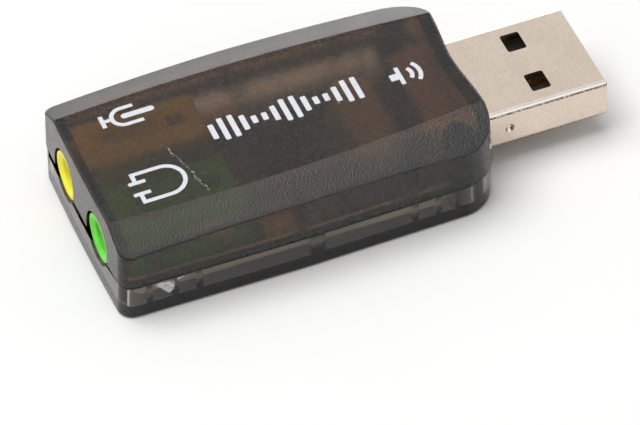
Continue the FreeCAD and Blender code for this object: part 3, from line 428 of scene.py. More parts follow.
strip = plain_finish(
    "Tinned strip", STRIP_DARK, STRIP_LIGHT, patch_scale=900, grain_scale=6000,
    roughness=(0.22, 0.42), grain_depth=3e-6, metallic=1)[0]
for jack in ("microphone", "headphone"):
    for part in ("tip_spring", "ring_spring", "sleeve_contact"):
        finish_node(jack + "_" + part, strip)


def piece_from(name, shape, material):
    """A bmesh in millimetres as a named piece in place, smooth-shaded."""
    bmesh.ops.scale(shape, vec=(MM, MM, MM), verts=shape.verts)
    mesh = bpy.data.meshes.new(name)
    shape.to_mesh(mesh)
    shape.free()
    mesh.materials.append(material)
    mesh.shade_smooth()
    piece = bpy.data.objects.new(name, mesh)
    bpy.context.scene.collection.objects.link(piece)
    return piece


for side, jack in ((-1, "headphone"), (1, "microphone")):
    drop = bmesh.new()
    bmesh.ops.create_icosphere(drop, subdivisions=DROP_DETAIL, radius=1)
    for vertex in drop.verts:
        lump = noise.noise(vertex.co * DROP_LUMP_SCALE + Vector((0, 0, side * DROP_LUMP_SHIFT)))
        rise = (vertex.co.z + 1) / 2
        # The drop hangs from a broad top beside the board's edge to a narrow foot over the floor of the case.
        breadth = (DROP_FOOT_SHARE + (1 - DROP_FOOT_SHARE) * rise) * (1 + DROP_LUMP * lump)
        vertex.co = Vector((DROP_X + DROP_HALF_LENGTH * vertex.co.x * breadth,
                            side * DROP_Y + DROP_HALF_DEPTH * vertex.co.y * breadth,
                            DROP_LOW_Z + (DROP_HIGH_Z - DROP_LOW_Z) * rise))
    fix(piece_from(jack + "_sleeve_solder", drop, solder_skin))


# Plug: a black moulded insulator with four gold-flashed contacts, inside a shell folded from nickel-plated
# steel strip. The shell is satin and finely pitted. Its bends carry a painted highlight, with a painted dark
# reflection below it.
INSULATOR_DARK = (0.045, 0.037, 0.037)
INSULATOR_LIGHT = (0.080, 0.066, 0.066)
GOLD_DARK = (0.72, 0.46, 0.13)
GOLD_LIGHT = (0.92, 0.66, 0.26)
NICKEL_DARK = (0.690, 0.585, 0.488)
NICKEL_LIGHT = (0.740, 0.632, 0.537)
NICKEL_ROUGHNESS = (0.13, 0.24)
PIT_COLOUR = (0.42, 0.34, 0.27)
PIT_SCALE = 4600.0
PIT_RANGE = (0.50, 0.72)
PIT_SHARE = 0.32
PIT_DETAIL = 2.0
# Painted highlight: a pale colour laid on the upper part of each bend of the shell.
PAINTED_HIGHLIGHT_COLOUR = (1.0, 0.97, 0.91)
PAINTED_HIGHLIGHT_RISE = (0.60, 0.74)
PAINTED_HIGHLIGHT_FALL = (0.955, 0.985)
# Painted dark reflection: dark colour in broken dashes on the lower part of each bend of the shell.
DARK_REFLECTION_COLOUR = (0.10, 0.085, 0.075)
DARK_REFLECTION_SCALE = 6500.0
DARK_REFLECTION_DETAIL = 3.0
DARK_REFLECTION_BREAKS = (0.37, 0.53)
DARK_REFLECTION_RISE = (0.22, 0.34)
DARK_REFLECTION_FALL = (0.50, 0.60)

insulator = plain_finish(
    "Black insulator", INSULATOR_DARK, INSULATOR_LIGHT, patch_scale=900, grain_scale=9000,
    roughness=(0.3, 0.5), grain_depth=5e-6)[0]
finish_node("usb_insulator", insulator)
gold = plain_finish(
    "Gold flash", GOLD_DARK, GOLD_LIGHT, patch_scale=900, grain_scale=6000,
    roughness=(0.15, 0.3), grain_depth=2e-6, metallic=1)[0]
for name in ("power", "data_minus", "data_plus", "ground"):
    finish_node("usb_contact_" + name, gold)
nickel, tree, shader = plain_finish(
    "Nickel plate", NICKEL_DARK, NICKEL_LIGHT, patch_scale=260, grain_scale=6500,
    roughness=NICKEL_ROUGHNESS, grain_depth=3e-6, metallic=1)
plated = shader.inputs["Base Color"].links[0].from_socket
place = put(tree, "ShaderNodeTexCoord", {}, {})
facing = put(tree, "ShaderNodeNewGeometry", {}, {})
facing_parts = put(tree, "ShaderNodeSeparateXYZ", {}, {0: facing.outputs["Normal"]})
flatness = calculate(tree, "ABSOLUTE", facing_parts.outputs["Z"])


def round_the_bend(rise, fall):
    """One on the part of each bend whose skin leans between two limits, else nought."""
    start = put(tree, "ShaderNodeMapRange", {"interpolation_type": "SMOOTHSTEP"}, {
        "Value": flatness, "From Min": rise[0], "From Max": rise[1]})
    end = put(tree, "ShaderNodeMapRange", {"interpolation_type": "SMOOTHSTEP"}, {
        "Value": flatness, "From Min": fall[0], "From Max": fall[1],
        "To Min": 1.0, "To Max": 0.0})
    return calculate(tree, "MULTIPLY", start.outputs["Result"], end.outputs["Result"])


pits = put(tree, "ShaderNodeTexNoise", {}, {
    "Vector": place.outputs["Object"], "Scale": PIT_SCALE, "Detail": PIT_DETAIL})
pitted = put(tree, "ShaderNodeMapRange", {}, {
    "Value": pits.outputs["Fac"], "From Min": PIT_RANGE[0], "From Max": PIT_RANGE[1], "To Max": PIT_SHARE})
skin = put(tree, "ShaderNodeMix", {"data_type": "RGBA"}, {
    0: pitted.outputs["Result"], 6: plated, 7: (*PIT_COLOUR, 1)})
# Painted highlight on the upper part of each bend, where the bend mirrors the bright ceiling.
painted_highlight = put(tree, "ShaderNodeMix", {"data_type": "RGBA"}, {
    0: round_the_bend(PAINTED_HIGHLIGHT_RISE, PAINTED_HIGHLIGHT_FALL), 6: skin.outputs[2], 7: (*PAINTED_HIGHLIGHT_COLOUR, 1)})
# Painted dark reflection on the lower part of each bend, where the bend mirrors the dim camera side, broken
# up by noise.
dark_reflection_noise = put(tree, "ShaderNodeTexNoise", {}, {
    "Vector": place.outputs["Object"], "Scale": DARK_REFLECTION_SCALE, "Detail": DARK_REFLECTION_DETAIL})
dark_reflection_breaks = put(tree, "ShaderNodeMapRange", {}, {
    "Value": dark_reflection_noise.outputs["Fac"], "From Min": DARK_REFLECTION_BREAKS[0], "From Max": DARK_REFLECTION_BREAKS[1]})
painted_dark_reflection = calculate(tree, "MULTIPLY", round_the_bend(DARK_REFLECTION_RISE, DARK_REFLECTION_FALL), dark_reflection_breaks.outputs["Result"])
with_dark_reflection = put(tree, "ShaderNodeMix", {"data_type": "RGBA"}, {
    0: painted_dark_reflection, 6: painted_highlight.outputs[2], 7: (*DARK_REFLECTION_COLOUR, 1)})
tree.links.new(with_dark_reflection.outputs[2], shader.inputs["Base Color"])
finish_node("usb_shell", nickel)


# Case halves: moulded in smoke-tinted clear plastic, joined at a stepped parting line. The tint lies in the
# whole thickness, so ribs and edges look darker. The sloping sides are coarsely grained, the rest finely.
UPPER_TINT = (0.425, 0.239, 0.026)
UPPER_DENSITY = 1350.0
LOWER_TINT = (0.330, 0.200, 0.120)
LOWER_DENSITY = 330.0
PLASTIC_DARK = (0.92, 0.92, 0.92)
PLASTIC_LIGHT = (1.0, 1.0, 1.0)
PLASTIC_IOR = 1.47
UPPER_ROUGHNESS = (0.19, 0.30)
LOWER_ROUGHNESS = (0.05, 0.12)
SLOPE_ROUGHNESS = 0.42
SLOPE_LOW_Z = 0.25
SLOPE_FULL_Z = 0.45
SLOPE_HIGH_Z = 0.975
SLOPE_END_Z = 0.993
SLOPE_GRAIN_SCALE = 6200.0
SLOPE_GRAIN_DEPTH = 5.4e-5
SLOPE_GRAIN_SHARE_JACK_END = 0.5
SLOPE_GRAIN_SMOOTHNESS = 0.6
SLOPE_GRAIN_LOW = 0.26
SLOPE_GRAIN_HIGH = 0.50
SLOPE_HAZE_ROUGHNESS = 0.35
SLOPE_HAZE_IOR = 1.5
SLOPE_HAZE_JACK_END = 0.05
SLOPE_HAZE_PLUG_END = 0.75
TOP_GRAIN_SCALE = 6200.0
TOP_GRAIN_DETAIL = 2.0
TOP_GRAIN_LOW = 0.50
TOP_GRAIN_HIGH = 0.78
TOP_HAZE = 0.32
HAZE_START_X = -26.5
HAZE_END_X = 13.4
PARTING_Z = 4.135
JOINT_HALF_WIDTH = 0.06
JOINT_FADE = 0.05
LEDGE_LOW_Z = 3.2
LEDGE_HIGH_Z = 5.2
LEDGE_FLATNESS = 0.5
LIP_LOW_Z = 4.0
LIP_HIGH_Z = 5.45


def height_band(tree, height, low, high):
    """One at heights between two limits, else nought."""
    over = calculate(tree, "GREATER_THAN", height, low * MM)
    under = calculate(tree, "LESS_THAN", height, high * MM)
    return calculate(tree, "MULTIPLY", over, under)


def smoke_finish(name, tint_colour, density, roughness, lip_shade_on_all_faces):
    """Tinted clear plastic: grained haze on faces that look up, and painted shade in black where the halves
    meet.

    The painted shade covers a thin band along the joint line and the faces lying flat at the ledge's height.
    All faces at the height of the lip are painted dark on the half that carries it, only the inner ones on
    the other.
    """
    material, tree, shader = plain_finish(
        name, PLASTIC_DARK, PLASTIC_LIGHT, patch_scale=300, grain_scale=16000,
        roughness=roughness, grain_depth=3e-6)
    shader.inputs["Transmission Weight"].default_value = 1.0
    shader.inputs["IOR"].default_value = PLASTIC_IOR
    shader.inputs["Coat Roughness"].default_value = SLOPE_HAZE_ROUGHNESS
    shader.inputs["Coat IOR"].default_value = SLOPE_HAZE_IOR
    colour = shader.inputs["Base Color"].links[0].from_socket
    satin = shader.inputs["Roughness"].links[0].from_socket
    fine_normal = shader.inputs["Normal"].links[0].from_socket
    place = put(tree, "ShaderNodeTexCoord", {}, {})
    along = put(tree, "ShaderNodeSeparateXYZ", {}, {0: place.outputs["Object"]})
    facing = put(tree, "ShaderNodeNewGeometry", {}, {})
    facing_parts = put(tree, "ShaderNodeSeparateXYZ", {}, {0: facing.outputs["Normal"]})
    above = put(tree, "ShaderNodeMapRange", {"interpolation_type": "SMOOTHSTEP"}, {
        "Value": facing_parts.outputs["Z"], "From Min": SLOPE_LOW_Z, "From Max": SLOPE_FULL_Z})
    below = put(tree, "ShaderNodeMapRange", {"interpolation_type": "SMOOTHSTEP"}, {
        "Value": facing_parts.outputs["Z"], "From Min": SLOPE_HIGH_Z, "From Max": SLOPE_END_Z,
        "To Min": 1.0, "To Max": 0.0})
    on_slope = calculate(tree, "MULTIPLY", above.outputs["Result"], below.outputs["Result"])
    pebbles = put(tree, "ShaderNodeTexVoronoi", {"feature": "SMOOTH_F1"}, {
        "Vector": place.outputs["Object"], "Scale": SLOPE_GRAIN_SCALE,
        "Smoothness": SLOPE_GRAIN_SMOOTHNESS})
    coarse = put(tree, "ShaderNodeMapRange", {}, {
        "Value": pebbles.outputs["Distance"], "From Min": SLOPE_GRAIN_LOW, "From Max": SLOPE_GRAIN_HIGH})
    lengthwise = put(tree, "ShaderNodeMapRange", {}, {
        "Value": along.outputs["X"], "From Min": HAZE_START_X * MM, "From Max": HAZE_END_X * MM,
        "To Min": SLOPE_HAZE_JACK_END, "To Max": SLOPE_HAZE_PLUG_END})
    slope_level = calculate(tree, "MULTIPLY", on_slope, lengthwise.outputs["Result"])
    slope_haze = calculate(tree, "MULTIPLY", slope_level, coarse.outputs["Result"])
    specks = put(tree, "ShaderNodeTexNoise", {}, {
        "Vector": place.outputs["Object"], "Scale": TOP_GRAIN_SCALE, "Detail": TOP_GRAIN_DETAIL})
    top_haze = put(tree, "ShaderNodeMapRange", {}, {
        "Value": specks.outputs["Fac"], "From Min": TOP_GRAIN_LOW, "From Max": TOP_GRAIN_HIGH,
        "To Max": TOP_HAZE})
    haze = calculate(tree, "MAXIMUM", slope_haze, top_haze.outputs["Result"])
    tree.links.new(haze, shader.inputs["Coat Weight"])
    shine = put(tree, "ShaderNodeMix", {"data_type": "FLOAT"}, {
        0: on_slope, 2: satin, 3: SLOPE_ROUGHNESS})
    tree.links.new(shine.outputs[0], shader.inputs["Roughness"])
    grain_share = put(tree, "ShaderNodeMapRange", {}, {
        "Value": along.outputs["X"], "From Min": HAZE_START_X * MM, "From Max": HAZE_END_X * MM,
        "To Min": SLOPE_GRAIN_SHARE_JACK_END, "To Max": 1.0})
    slope_share = calculate(tree, "MULTIPLY", on_slope, grain_share.outputs["Result"])
    slope_height = calculate(tree, "MULTIPLY", pebbles.outputs["Distance"], slope_share)
    slope_bump = put(tree, "ShaderNodeBump", {}, {
        "Strength": 1.0, "Distance": SLOPE_GRAIN_DEPTH, "Height": slope_height,
        "Normal": fine_normal})
    tree.links.new(slope_bump.outputs["Normal"], shader.inputs["Normal"])
    tree.links.new(slope_bump.outputs["Normal"], shader.inputs["Coat Normal"])
    # Painted shade: black base colour on a thin band along the joint line, on flat faces at the ledge and on
    # the lip faces, standing in for the shade in the joint between the halves.
    from_joint = calculate(tree, "SUBTRACT", along.outputs["Z"], PARTING_Z * MM)
    joint_reach = calculate(tree, "ABSOLUTE", from_joint)
    joint = put(tree, "ShaderNodeMapRange", {}, {
        "Value": joint_reach, "From Min": JOINT_HALF_WIDTH * MM,
        "From Max": (JOINT_HALF_WIDTH + JOINT_FADE) * MM})
    flatness = calculate(tree, "ABSOLUTE", facing_parts.outputs["Z"])
    lying = calculate(tree, "GREATER_THAN", flatness, LEDGE_FLATNESS)
    sideways = put(tree, "ShaderNodeVectorMath", {"operation": "MULTIPLY"}, {
        0: facing.outputs["Normal"], 1: (1, 1, 0)})
    away = put(tree, "ShaderNodeVectorMath", {"operation": "DOT_PRODUCT"}, {
        0: sideways.outputs["Vector"], 1: place.outputs["Object"]})
    inward = calculate(tree, "LESS_THAN", away.outputs["Value"], 0.0)
    ledge = calculate(
        tree, "MULTIPLY", lying, height_band(tree, along.outputs["Z"], LEDGE_LOW_Z, LEDGE_HIGH_Z))
    lip_face = calculate(tree, "MAXIMUM", inward, lip_shade_on_all_faces)
    lip = calculate(
        tree, "MULTIPLY", lip_face, height_band(tree, along.outputs["Z"], LIP_LOW_Z, LIP_HIGH_Z))
    shaded_meeting = calculate(tree, "MAXIMUM", ledge, lip)
    clear = calculate(tree, "SUBTRACT", 1.0, shaded_meeting)
    off_joint = calculate(tree, "MULTIPLY", clear, joint.outputs["Result"])
    joint_painted_shade = put(tree, "ShaderNodeMix", {"data_type": "RGBA"}, {
        0: off_joint, 6: (0, 0, 0, 1), 7: colour})
    tree.links.new(joint_painted_shade.outputs[2], shader.inputs["Base Color"])
    tint = put(tree, "ShaderNodeVolumeAbsorption", {}, {"Color": (*tint_colour, 1), "Density": density})
    tree.links.new(tint.outputs["Volume"], tree.nodes["Material Output"].inputs["Volume"])
    return material


# The lower half carries the lip, so all its faces at the lip's height take the painted shade; the upper half
# only its inner ones.
for half, tint, density, roughness, lip_shade_on_all_faces in (
        ("lower", LOWER_TINT, LOWER_DENSITY, LOWER_ROUGHNESS, 1.0),
        ("upper", UPPER_TINT, UPPER_DENSITY, UPPER_ROUGHNESS, 0.0)):
    smoke = smoke_finish("Smoke plastic, " + half + " half", tint, density, roughness, lip_shade_on_all_faces)
    finish_node(half + "_case", smoke)


# Print on the top: one pass of pale grey pad-printing ink, a few hundredths of a millimetre thick.
# A microphone and a pair of headphones mark the jacks; a row of level bars and a loudspeaker fill the rest.
INK_DARK = (0.65, 0.67, 0.71)
INK_LIGHT = (0.76, 0.78, 0.82)
INK_SINK = 0.01
INK_THICKNESS = 0.03
JACK_END_X = -26.525
TOP_JACK_Z = 9.88
TOP_RISE = 0.64 / 39.9
ARC_STEPS = 18
STROKE = 0.44
MITRE_LIMIT = 0.5

ink = plain_finish(
    "Pad-printing ink", INK_DARK, INK_LIGHT, patch_scale=2200, grain_scale=14000,
    roughness=(0.45, 0.65), grain_depth=6e-6)[0]


def top_z(x):
    """Height of the case's flat top at a place along it."""
    return TOP_JACK_Z + TOP_RISE * (x - JACK_END_X)


def arc(x, y, radius, start_deg, end_deg):
    """Points along part of a circle."""
    steps = [start_deg + (end_deg - start_deg) * i / ARC_STEPS for i in range(ARC_STEPS + 1)]
    return [(x + radius * math.cos(math.radians(a)), y + radius * math.sin(math.radians(a))) for a in steps]


def add_stroke(shape, path, width):
    """Inked stroke of even width along a path on the top, mitred at its corners and square at its ends."""
    points = [Vector(point) for point in path]
    rows = []
    for i, point in enumerate(points):
        before = (point - points[max(i - 1, 0)]).normalized()
        after = (points[min(i + 1, len(points) - 1)] - point).normalized()
        along = (before + after).normalized()
        across = Vector((-along.y, along.x))
        one = after if i < len(points) - 1 else before
        half = width / 2 / max(abs(along.dot(one)), MITRE_LIMIT)
        rows.append((point + across * half, point - across * half))
    levels = (-INK_SINK, INK_THICKNESS - INK_SINK)
    rings = []
    for left, right in rows:
        corners = ((left, levels[0]), (right, levels[0]), (right, levels[1]), (left, levels[1]))
        rings.append([shape.verts.new((p.x, p.y, top_z(p.x) + level)) for p, level in corners])
    for first, second in zip(rings, rings[1:]):
        for i in range(4):
            shape.faces.new((first[i], first[(i + 1) % 4], second[(i + 1) % 4], second[i]))
    shape.faces.new(rings[0])
    shape.faces.new(reversed(rings[-1]))


def add_capsule(shape, x0, x1, y, width):
    """Inked bar with round ends, lying along X."""
    outline = arc(x1, y, width / 2, -90, 90) + arc(x0, y, width / 2, 90, 270)
    low = [shape.verts.new((px, py, top_z(px) - INK_SINK)) for px, py in outline]
    high = [shape.verts.new((px, py, top_z(px) + INK_THICKNESS - INK_SINK)) for px, py in outline]
    shape.faces.new(high)
    shape.faces.new(reversed(low))
    for i in range(len(outline)):
        after = (i + 1) % len(outline)
        shape.faces.new((low[i], low[after], high[after], high[i]))


def printed(name, strokes, capsules):
    """One printed mark made of several strokes and round-ended bars."""
    shape = bmesh.new()
    for path, width in strokes:
        add_stroke(shape, path, width)
    for capsule in capsules:
        add_capsule(shape, *capsule)
    bmesh.ops.recalc_face_normals(shape, faces=shape.faces)
    mark = piece_from(name, shape, ink)
    mark.data.shade_flat()
    return fix(mark)


MICROPHONE_Y = 5.45
HOLDER_X = -19.85
HOLDER_RADIUS = 1.16
HOLDER_FAR_ARM_X = -18.5
HOLDER_NEAR_ARM_X = -18.1
CAPSULE_START_X = -19.75
CAPSULE_END_X = -17.0
CAPSULE_WIDTH = 0.66
FOOT_X = -22.0
FOOT_HALF = 0.85
printed("microphone_mark", [
    ([(FOOT_X, MICROPHONE_Y - FOOT_HALF), (FOOT_X, MICROPHONE_Y + FOOT_HALF)], STROKE),
    ([(FOOT_X + STROKE / 2, MICROPHONE_Y), (HOLDER_X - HOLDER_RADIUS - STROKE / 2, MICROPHONE_Y)], STROKE),
    ([(HOLDER_FAR_ARM_X, MICROPHONE_Y + HOLDER_RADIUS)] + arc(HOLDER_X, MICROPHONE_Y, HOLDER_RADIUS, 90, 270)
     + [(HOLDER_NEAR_ARM_X, MICROPHONE_Y - HOLDER_RADIUS)], STROKE),
], [(CAPSULE_START_X, CAPSULE_END_X, MICROPHONE_Y, CAPSULE_WIDTH)])

HEADPHONE_Y = -4.5
BAND_X = -19.175
BAND_RADIUS = 1.95
CUP_X = -21.945
CUP_DEPTH = 0.96
PAD_START_X = -22.665
PAD_END_X = -20.925
PAD_REACH = 0.78
band_path = [(CUP_X, HEADPHONE_Y + BAND_RADIUS - CUP_DEPTH), (CUP_X, HEADPHONE_Y + BAND_RADIUS)]
band_path += reversed(arc(BAND_X, HEADPHONE_Y, BAND_RADIUS, -90, 90))
band_path += [(CUP_X, HEADPHONE_Y - BAND_RADIUS), (CUP_X, HEADPHONE_Y - BAND_RADIUS + CUP_DEPTH)]
printed("headphone_mark", [
    (band_path, STROKE),
    ([(PAD_START_X, HEADPHONE_Y + PAD_REACH), (PAD_END_X, HEADPHONE_Y + PAD_REACH)], STROKE),
    ([(PAD_START_X, HEADPHONE_Y - PAD_REACH), (PAD_END_X, HEADPHONE_Y - PAD_REACH)], STROKE),
], [])

SPEAKER_START_X = 5.8
SPEAKER_END_X = 6.6
SPEAKER_Y = -0.4
SPEAKER_BODY = 0.9
SPEAKER_CONE_X = 6.82
SPEAKER_CONE_HALF = 1.25
WAVE_X = 6.9
WAVE_RADII = (1.15, 2.0)
WAVE_ANGLE = 38
printed("loudspeaker_mark", [
    ([(SPEAKER_START_X, SPEAKER_Y), (SPEAKER_END_X, SPEAKER_Y)], SPEAKER_BODY),
    ([(SPEAKER_CONE_X, SPEAKER_Y - SPEAKER_CONE_HALF),
      (SPEAKER_CONE_X, SPEAKER_Y + SPEAKER_CONE_HALF)], STROKE),
    (arc(WAVE_X, SPEAKER_Y, WAVE_RADII[0], -WAVE_ANGLE, WAVE_ANGLE), STROKE),
    (arc(WAVE_X, SPEAKER_Y, WAVE_RADII[1], -WAVE_ANGLE, WAVE_ANGLE), STROKE),
], [])

BAR_START_X = -12.6
BAR_STEP = 1.07
BAR_COUNT = 15
BAR_Y = -0.2
BAR_WIDTH = 0.56
BAR_SHORT = 0.9
BAR_TALL = 3.3
BAR_WAVES = 2.5
BAR_CREASE = 0.85
BAR_DETAIL = 3

bar_tree, given, result = geometry_tree("Level bars", [
    ("Width", "NodeSocketFloat"), ("Short", "NodeSocketFloat"), ("Tall", "NodeSocketFloat"),
    ("Thickness", "NodeSocketFloat"), ("Waves", "NodeSocketFloat"), ("Finish", "NodeSocketMaterial")])
count = put(bar_tree, "GeometryNodeAttributeDomainSize", {"component": "MESH"}, {
    "Geometry": given.outputs["Geometry"]})
order = put(bar_tree, "GeometryNodeInputIndex", {}, {})
bar_share = calculate(bar_tree, "DIVIDE", order.outputs[0], count.outputs["Point Count"])
turns = calculate(bar_tree, "MULTIPLY", bar_share, given.outputs["Waves"])
angle = calculate(bar_tree, "MULTIPLY", turns, math.tau)
swing = calculate(bar_tree, "SINE", angle)
length = put(bar_tree, "ShaderNodeMapRange", {}, {
    "Value": swing, "From Min": -1.0, "From Max": 1.0, "To Min": given.outputs["Short"],
    "To Max": given.outputs["Tall"]})
block = put(bar_tree, "GeometryNodeMeshCube", {}, {"Size": (1.0, 1.0, 1.0)})
block_round = put(bar_tree, "GeometryNodeSubdivisionSurface", {}, {
    "Mesh": block.outputs["Mesh"], "Level": BAR_DETAIL, "Edge Crease": BAR_CREASE})
bar_size = put(bar_tree, "ShaderNodeCombineXYZ", {}, {
    "X": given.outputs["Width"], "Y": length.outputs["Result"], "Z": given.outputs["Thickness"]})
bars = put(bar_tree, "GeometryNodeInstanceOnPoints", {}, {
    "Points": given.outputs["Geometry"], "Instance": block_round.outputs["Mesh"],
    "Scale": bar_size.outputs["Vector"]})
close_tree(bar_tree, given, result, bars.outputs["Instances"])
bar_places = []
for i in range(BAR_COUNT):
    x = BAR_START_X + BAR_STEP * i
    bar_places.append((x, BAR_Y, top_z(x) + INK_THICKNESS / 2 - INK_SINK))
fix(grow("level_marks", point_mesh("Bar places", bar_places), bar_tree, {
    "Width": BAR_WIDTH * MM, "Short": BAR_SHORT * MM, "Tall": BAR_TALL * MM, "Thickness": INK_THICKNESS * MM,
    "Waves": BAR_WAVES, "Finish": ink}))


# Wear: one scratch across the top that has flaked white, a little pale dust on the top and near wall,
# and plastic crushed white under the joint near the headphone jack and torn at the corner beside the plug.
WEAR_DARK = (0.50, 0.49, 0.48)
WEAR_LIGHT = (0.86, 0.85, 0.83)
SCRATCH_START = (-17.4, -0.52)
SCRATCH_END = (-15.8, -7.3)
SCRATCH_FLAKES = 64
SCRATCH_SWAY = 0.25
SCRATCH_WAVES = 9
SWAY_ROW = (0.3, 0.7)
SCATTER_STEP = 1.37
SCATTER_ROW = (4.1, 2.3)
KEPT_STEP = 0.73
KEPT_ROW = (1.9, 8.2)
FLAKE_SCATTER = 0.22
FLAKE_KEPT = -0.12
FLAKE_SIZE = 0.045
FLAKE_THICKNESS = 0.02
FLAKE_LENGTHS = (0.35, 1.5)
FLAKE_DETAIL = 2
FLAKE_SEED = 5
DUST_PER_AREA = 8e4
DUST_SIZE = 0.06
DUST_TOP_Z = 9.6
DUST_TOP_END_X = 6.0
DUST_WALL_Y = -10.5
DUST_WALL_LOW_Z = 5.0
DUST_FACING = 0.9
MOTE_SHARES = (0.4, 1.0)
MOTE_DETAIL = 2
DUST_SEED = 3

wear = plain_finish(
    "Scuffed plastic and dust", WEAR_DARK, WEAR_LIGHT, patch_scale=3000, grain_scale=14000,
    roughness=(0.6, 0.8), grain_depth=5e-6)[0]

flake_tree, given, result = geometry_tree("Flakes", [
    ("Size", "NodeSocketFloat"), ("Thickness", "NodeSocketFloat"), ("Seed", "NodeSocketInt"),
    ("Finish", "NodeSocketMaterial")])
flake = put(flake_tree, "GeometryNodeMeshIcoSphere", {}, {"Radius": 1.0, "Subdivisions": FLAKE_DETAIL})
long_side = put(flake_tree, "FunctionNodeRandomValue", {"data_type": "FLOAT"}, {
    2: FLAKE_LENGTHS[0], 3: FLAKE_LENGTHS[1], "Seed": given.outputs["Seed"]})
flake_length = calculate(flake_tree, "MULTIPLY", long_side.outputs[1], given.outputs["Size"])
flake_scale = put(flake_tree, "ShaderNodeCombineXYZ", {}, {
    "X": flake_length, "Y": given.outputs["Size"], "Z": given.outputs["Thickness"]})
flake_turn = put(flake_tree, "FunctionNodeRandomValue", {"data_type": "FLOAT"}, {
    2: 0.0, 3: math.tau, "Seed": given.outputs["Seed"]})
flake_spin = put(flake_tree, "ShaderNodeCombineXYZ", {}, {"Z": flake_turn.outputs[1]})
flakes = put(flake_tree, "GeometryNodeInstanceOnPoints", {}, {
    "Points": given.outputs["Geometry"], "Instance": flake.outputs["Mesh"],
    "Rotation": flake_spin.outputs["Vector"], "Scale": flake_scale.outputs["Vector"]})
close_tree(flake_tree, given, result, flakes.outputs["Instances"])
scratch_places = []
for i in range(SCRATCH_FLAKES):
    share = i / (SCRATCH_FLAKES - 1)
    sway = noise.noise(Vector((share * SCRATCH_WAVES, *SWAY_ROW))) * SCRATCH_SWAY
    scatter = noise.noise(Vector((i * SCATTER_STEP, *SCATTER_ROW))) * FLAKE_SCATTER
    x = SCRATCH_START[0] + (SCRATCH_END[0] - SCRATCH_START[0]) * share + sway + scatter
    y = SCRATCH_START[1] + (SCRATCH_END[1] - SCRATCH_START[1]) * share + scatter
    if noise.noise(Vector((i * KEPT_STEP, *KEPT_ROW))) > FLAKE_KEPT:
        scratch_places.append((x, y, top_z(x)))
fix(grow("top_scratch", point_mesh("Scratch places", scratch_places), flake_tree, {
    "Size": FLAKE_SIZE * MM, "Thickness": FLAKE_THICKNESS * MM,
    "Seed": FLAKE_SEED, "Finish": wear}))

dust_tree, given, result = geometry_tree("Dust", [
    ("Size", "NodeSocketFloat"), ("Per area", "NodeSocketFloat"), ("Seed", "NodeSocketInt"),
    ("Finish", "NodeSocketMaterial")])
spot = put(dust_tree, "GeometryNodeInputPosition", {}, {})
spot_parts = put(dust_tree, "ShaderNodeSeparateXYZ", {}, {0: spot.outputs[0]})
outward = put(dust_tree, "GeometryNodeInputNormal", {}, {})
outward_parts = put(dust_tree, "ShaderNodeSeparateXYZ", {}, {0: outward.outputs["Normal"]})


def beyond(value, operation, limit):
    """True where a value lies on one side of a limit."""
    return put(dust_tree, "FunctionNodeCompare", {"data_type": "FLOAT", "operation": operation}, {
        0: value, 1: limit}).outputs["Result"]


def combine(first, second, operation):
    """Joins two conditions."""
    joined = put(dust_tree, "FunctionNodeBooleanMath", {"operation": operation}, {0: first, 1: second})
    return joined.outputs[0]


on_top = combine(beyond(outward_parts.outputs["Z"], "GREATER_THAN", DUST_FACING),
                 beyond(spot_parts.outputs["Z"], "GREATER_THAN", DUST_TOP_Z * MM), "AND")
on_top = combine(on_top, beyond(spot_parts.outputs["X"], "LESS_THAN", DUST_TOP_END_X * MM), "AND")
on_wall = combine(beyond(outward_parts.outputs["Y"], "LESS_THAN", -DUST_FACING),
                  beyond(spot_parts.outputs["Y"], "LESS_THAN", DUST_WALL_Y * MM), "AND")
on_wall = combine(on_wall, beyond(spot_parts.outputs["Z"], "GREATER_THAN", DUST_WALL_LOW_Z * MM), "AND")
fall = put(dust_tree, "GeometryNodeDistributePointsOnFaces", {}, {
    "Mesh": given.outputs["Geometry"], "Selection": combine(on_top, on_wall, "OR"),
    "Density": given.outputs["Per area"], "Seed": given.outputs["Seed"]})
mote = put(dust_tree, "GeometryNodeMeshIcoSphere", {}, {"Radius": 1.0, "Subdivisions": MOTE_DETAIL})
mote_share = put(dust_tree, "FunctionNodeRandomValue", {"data_type": "FLOAT"}, {
    2: MOTE_SHARES[0], 3: MOTE_SHARES[1], "Seed": given.outputs["Seed"]})
mote_size = calculate(dust_tree, "MULTIPLY", mote_share.outputs[1], given.outputs["Size"])
motes = put(dust_tree, "GeometryNodeInstanceOnPoints", {}, {
    "Points": fall.outputs["Points"], "Instance": mote.outputs["Mesh"], "Rotation": fall.outputs["Rotation"],
    "Scale": mote_size})
close_tree(dust_tree, given, result, motes.outputs["Instances"])
case_skin = bmesh.new()
case_skin.from_mesh(cad["upper_case"].data)
bmesh.ops.remove_doubles(case_skin, verts=case_skin.verts, dist=MERGE_DISTANCE)
skin_mesh = bpy.data.meshes.new("Case skin")
case_skin.to_mesh(skin_mesh)
case_skin.free()
fix(grow("dust", skin_mesh, dust_tree, {
    "Size": DUST_SIZE * MM, "Per area": DUST_PER_AREA, "Seed": DUST_SEED, "Finish": wear}))

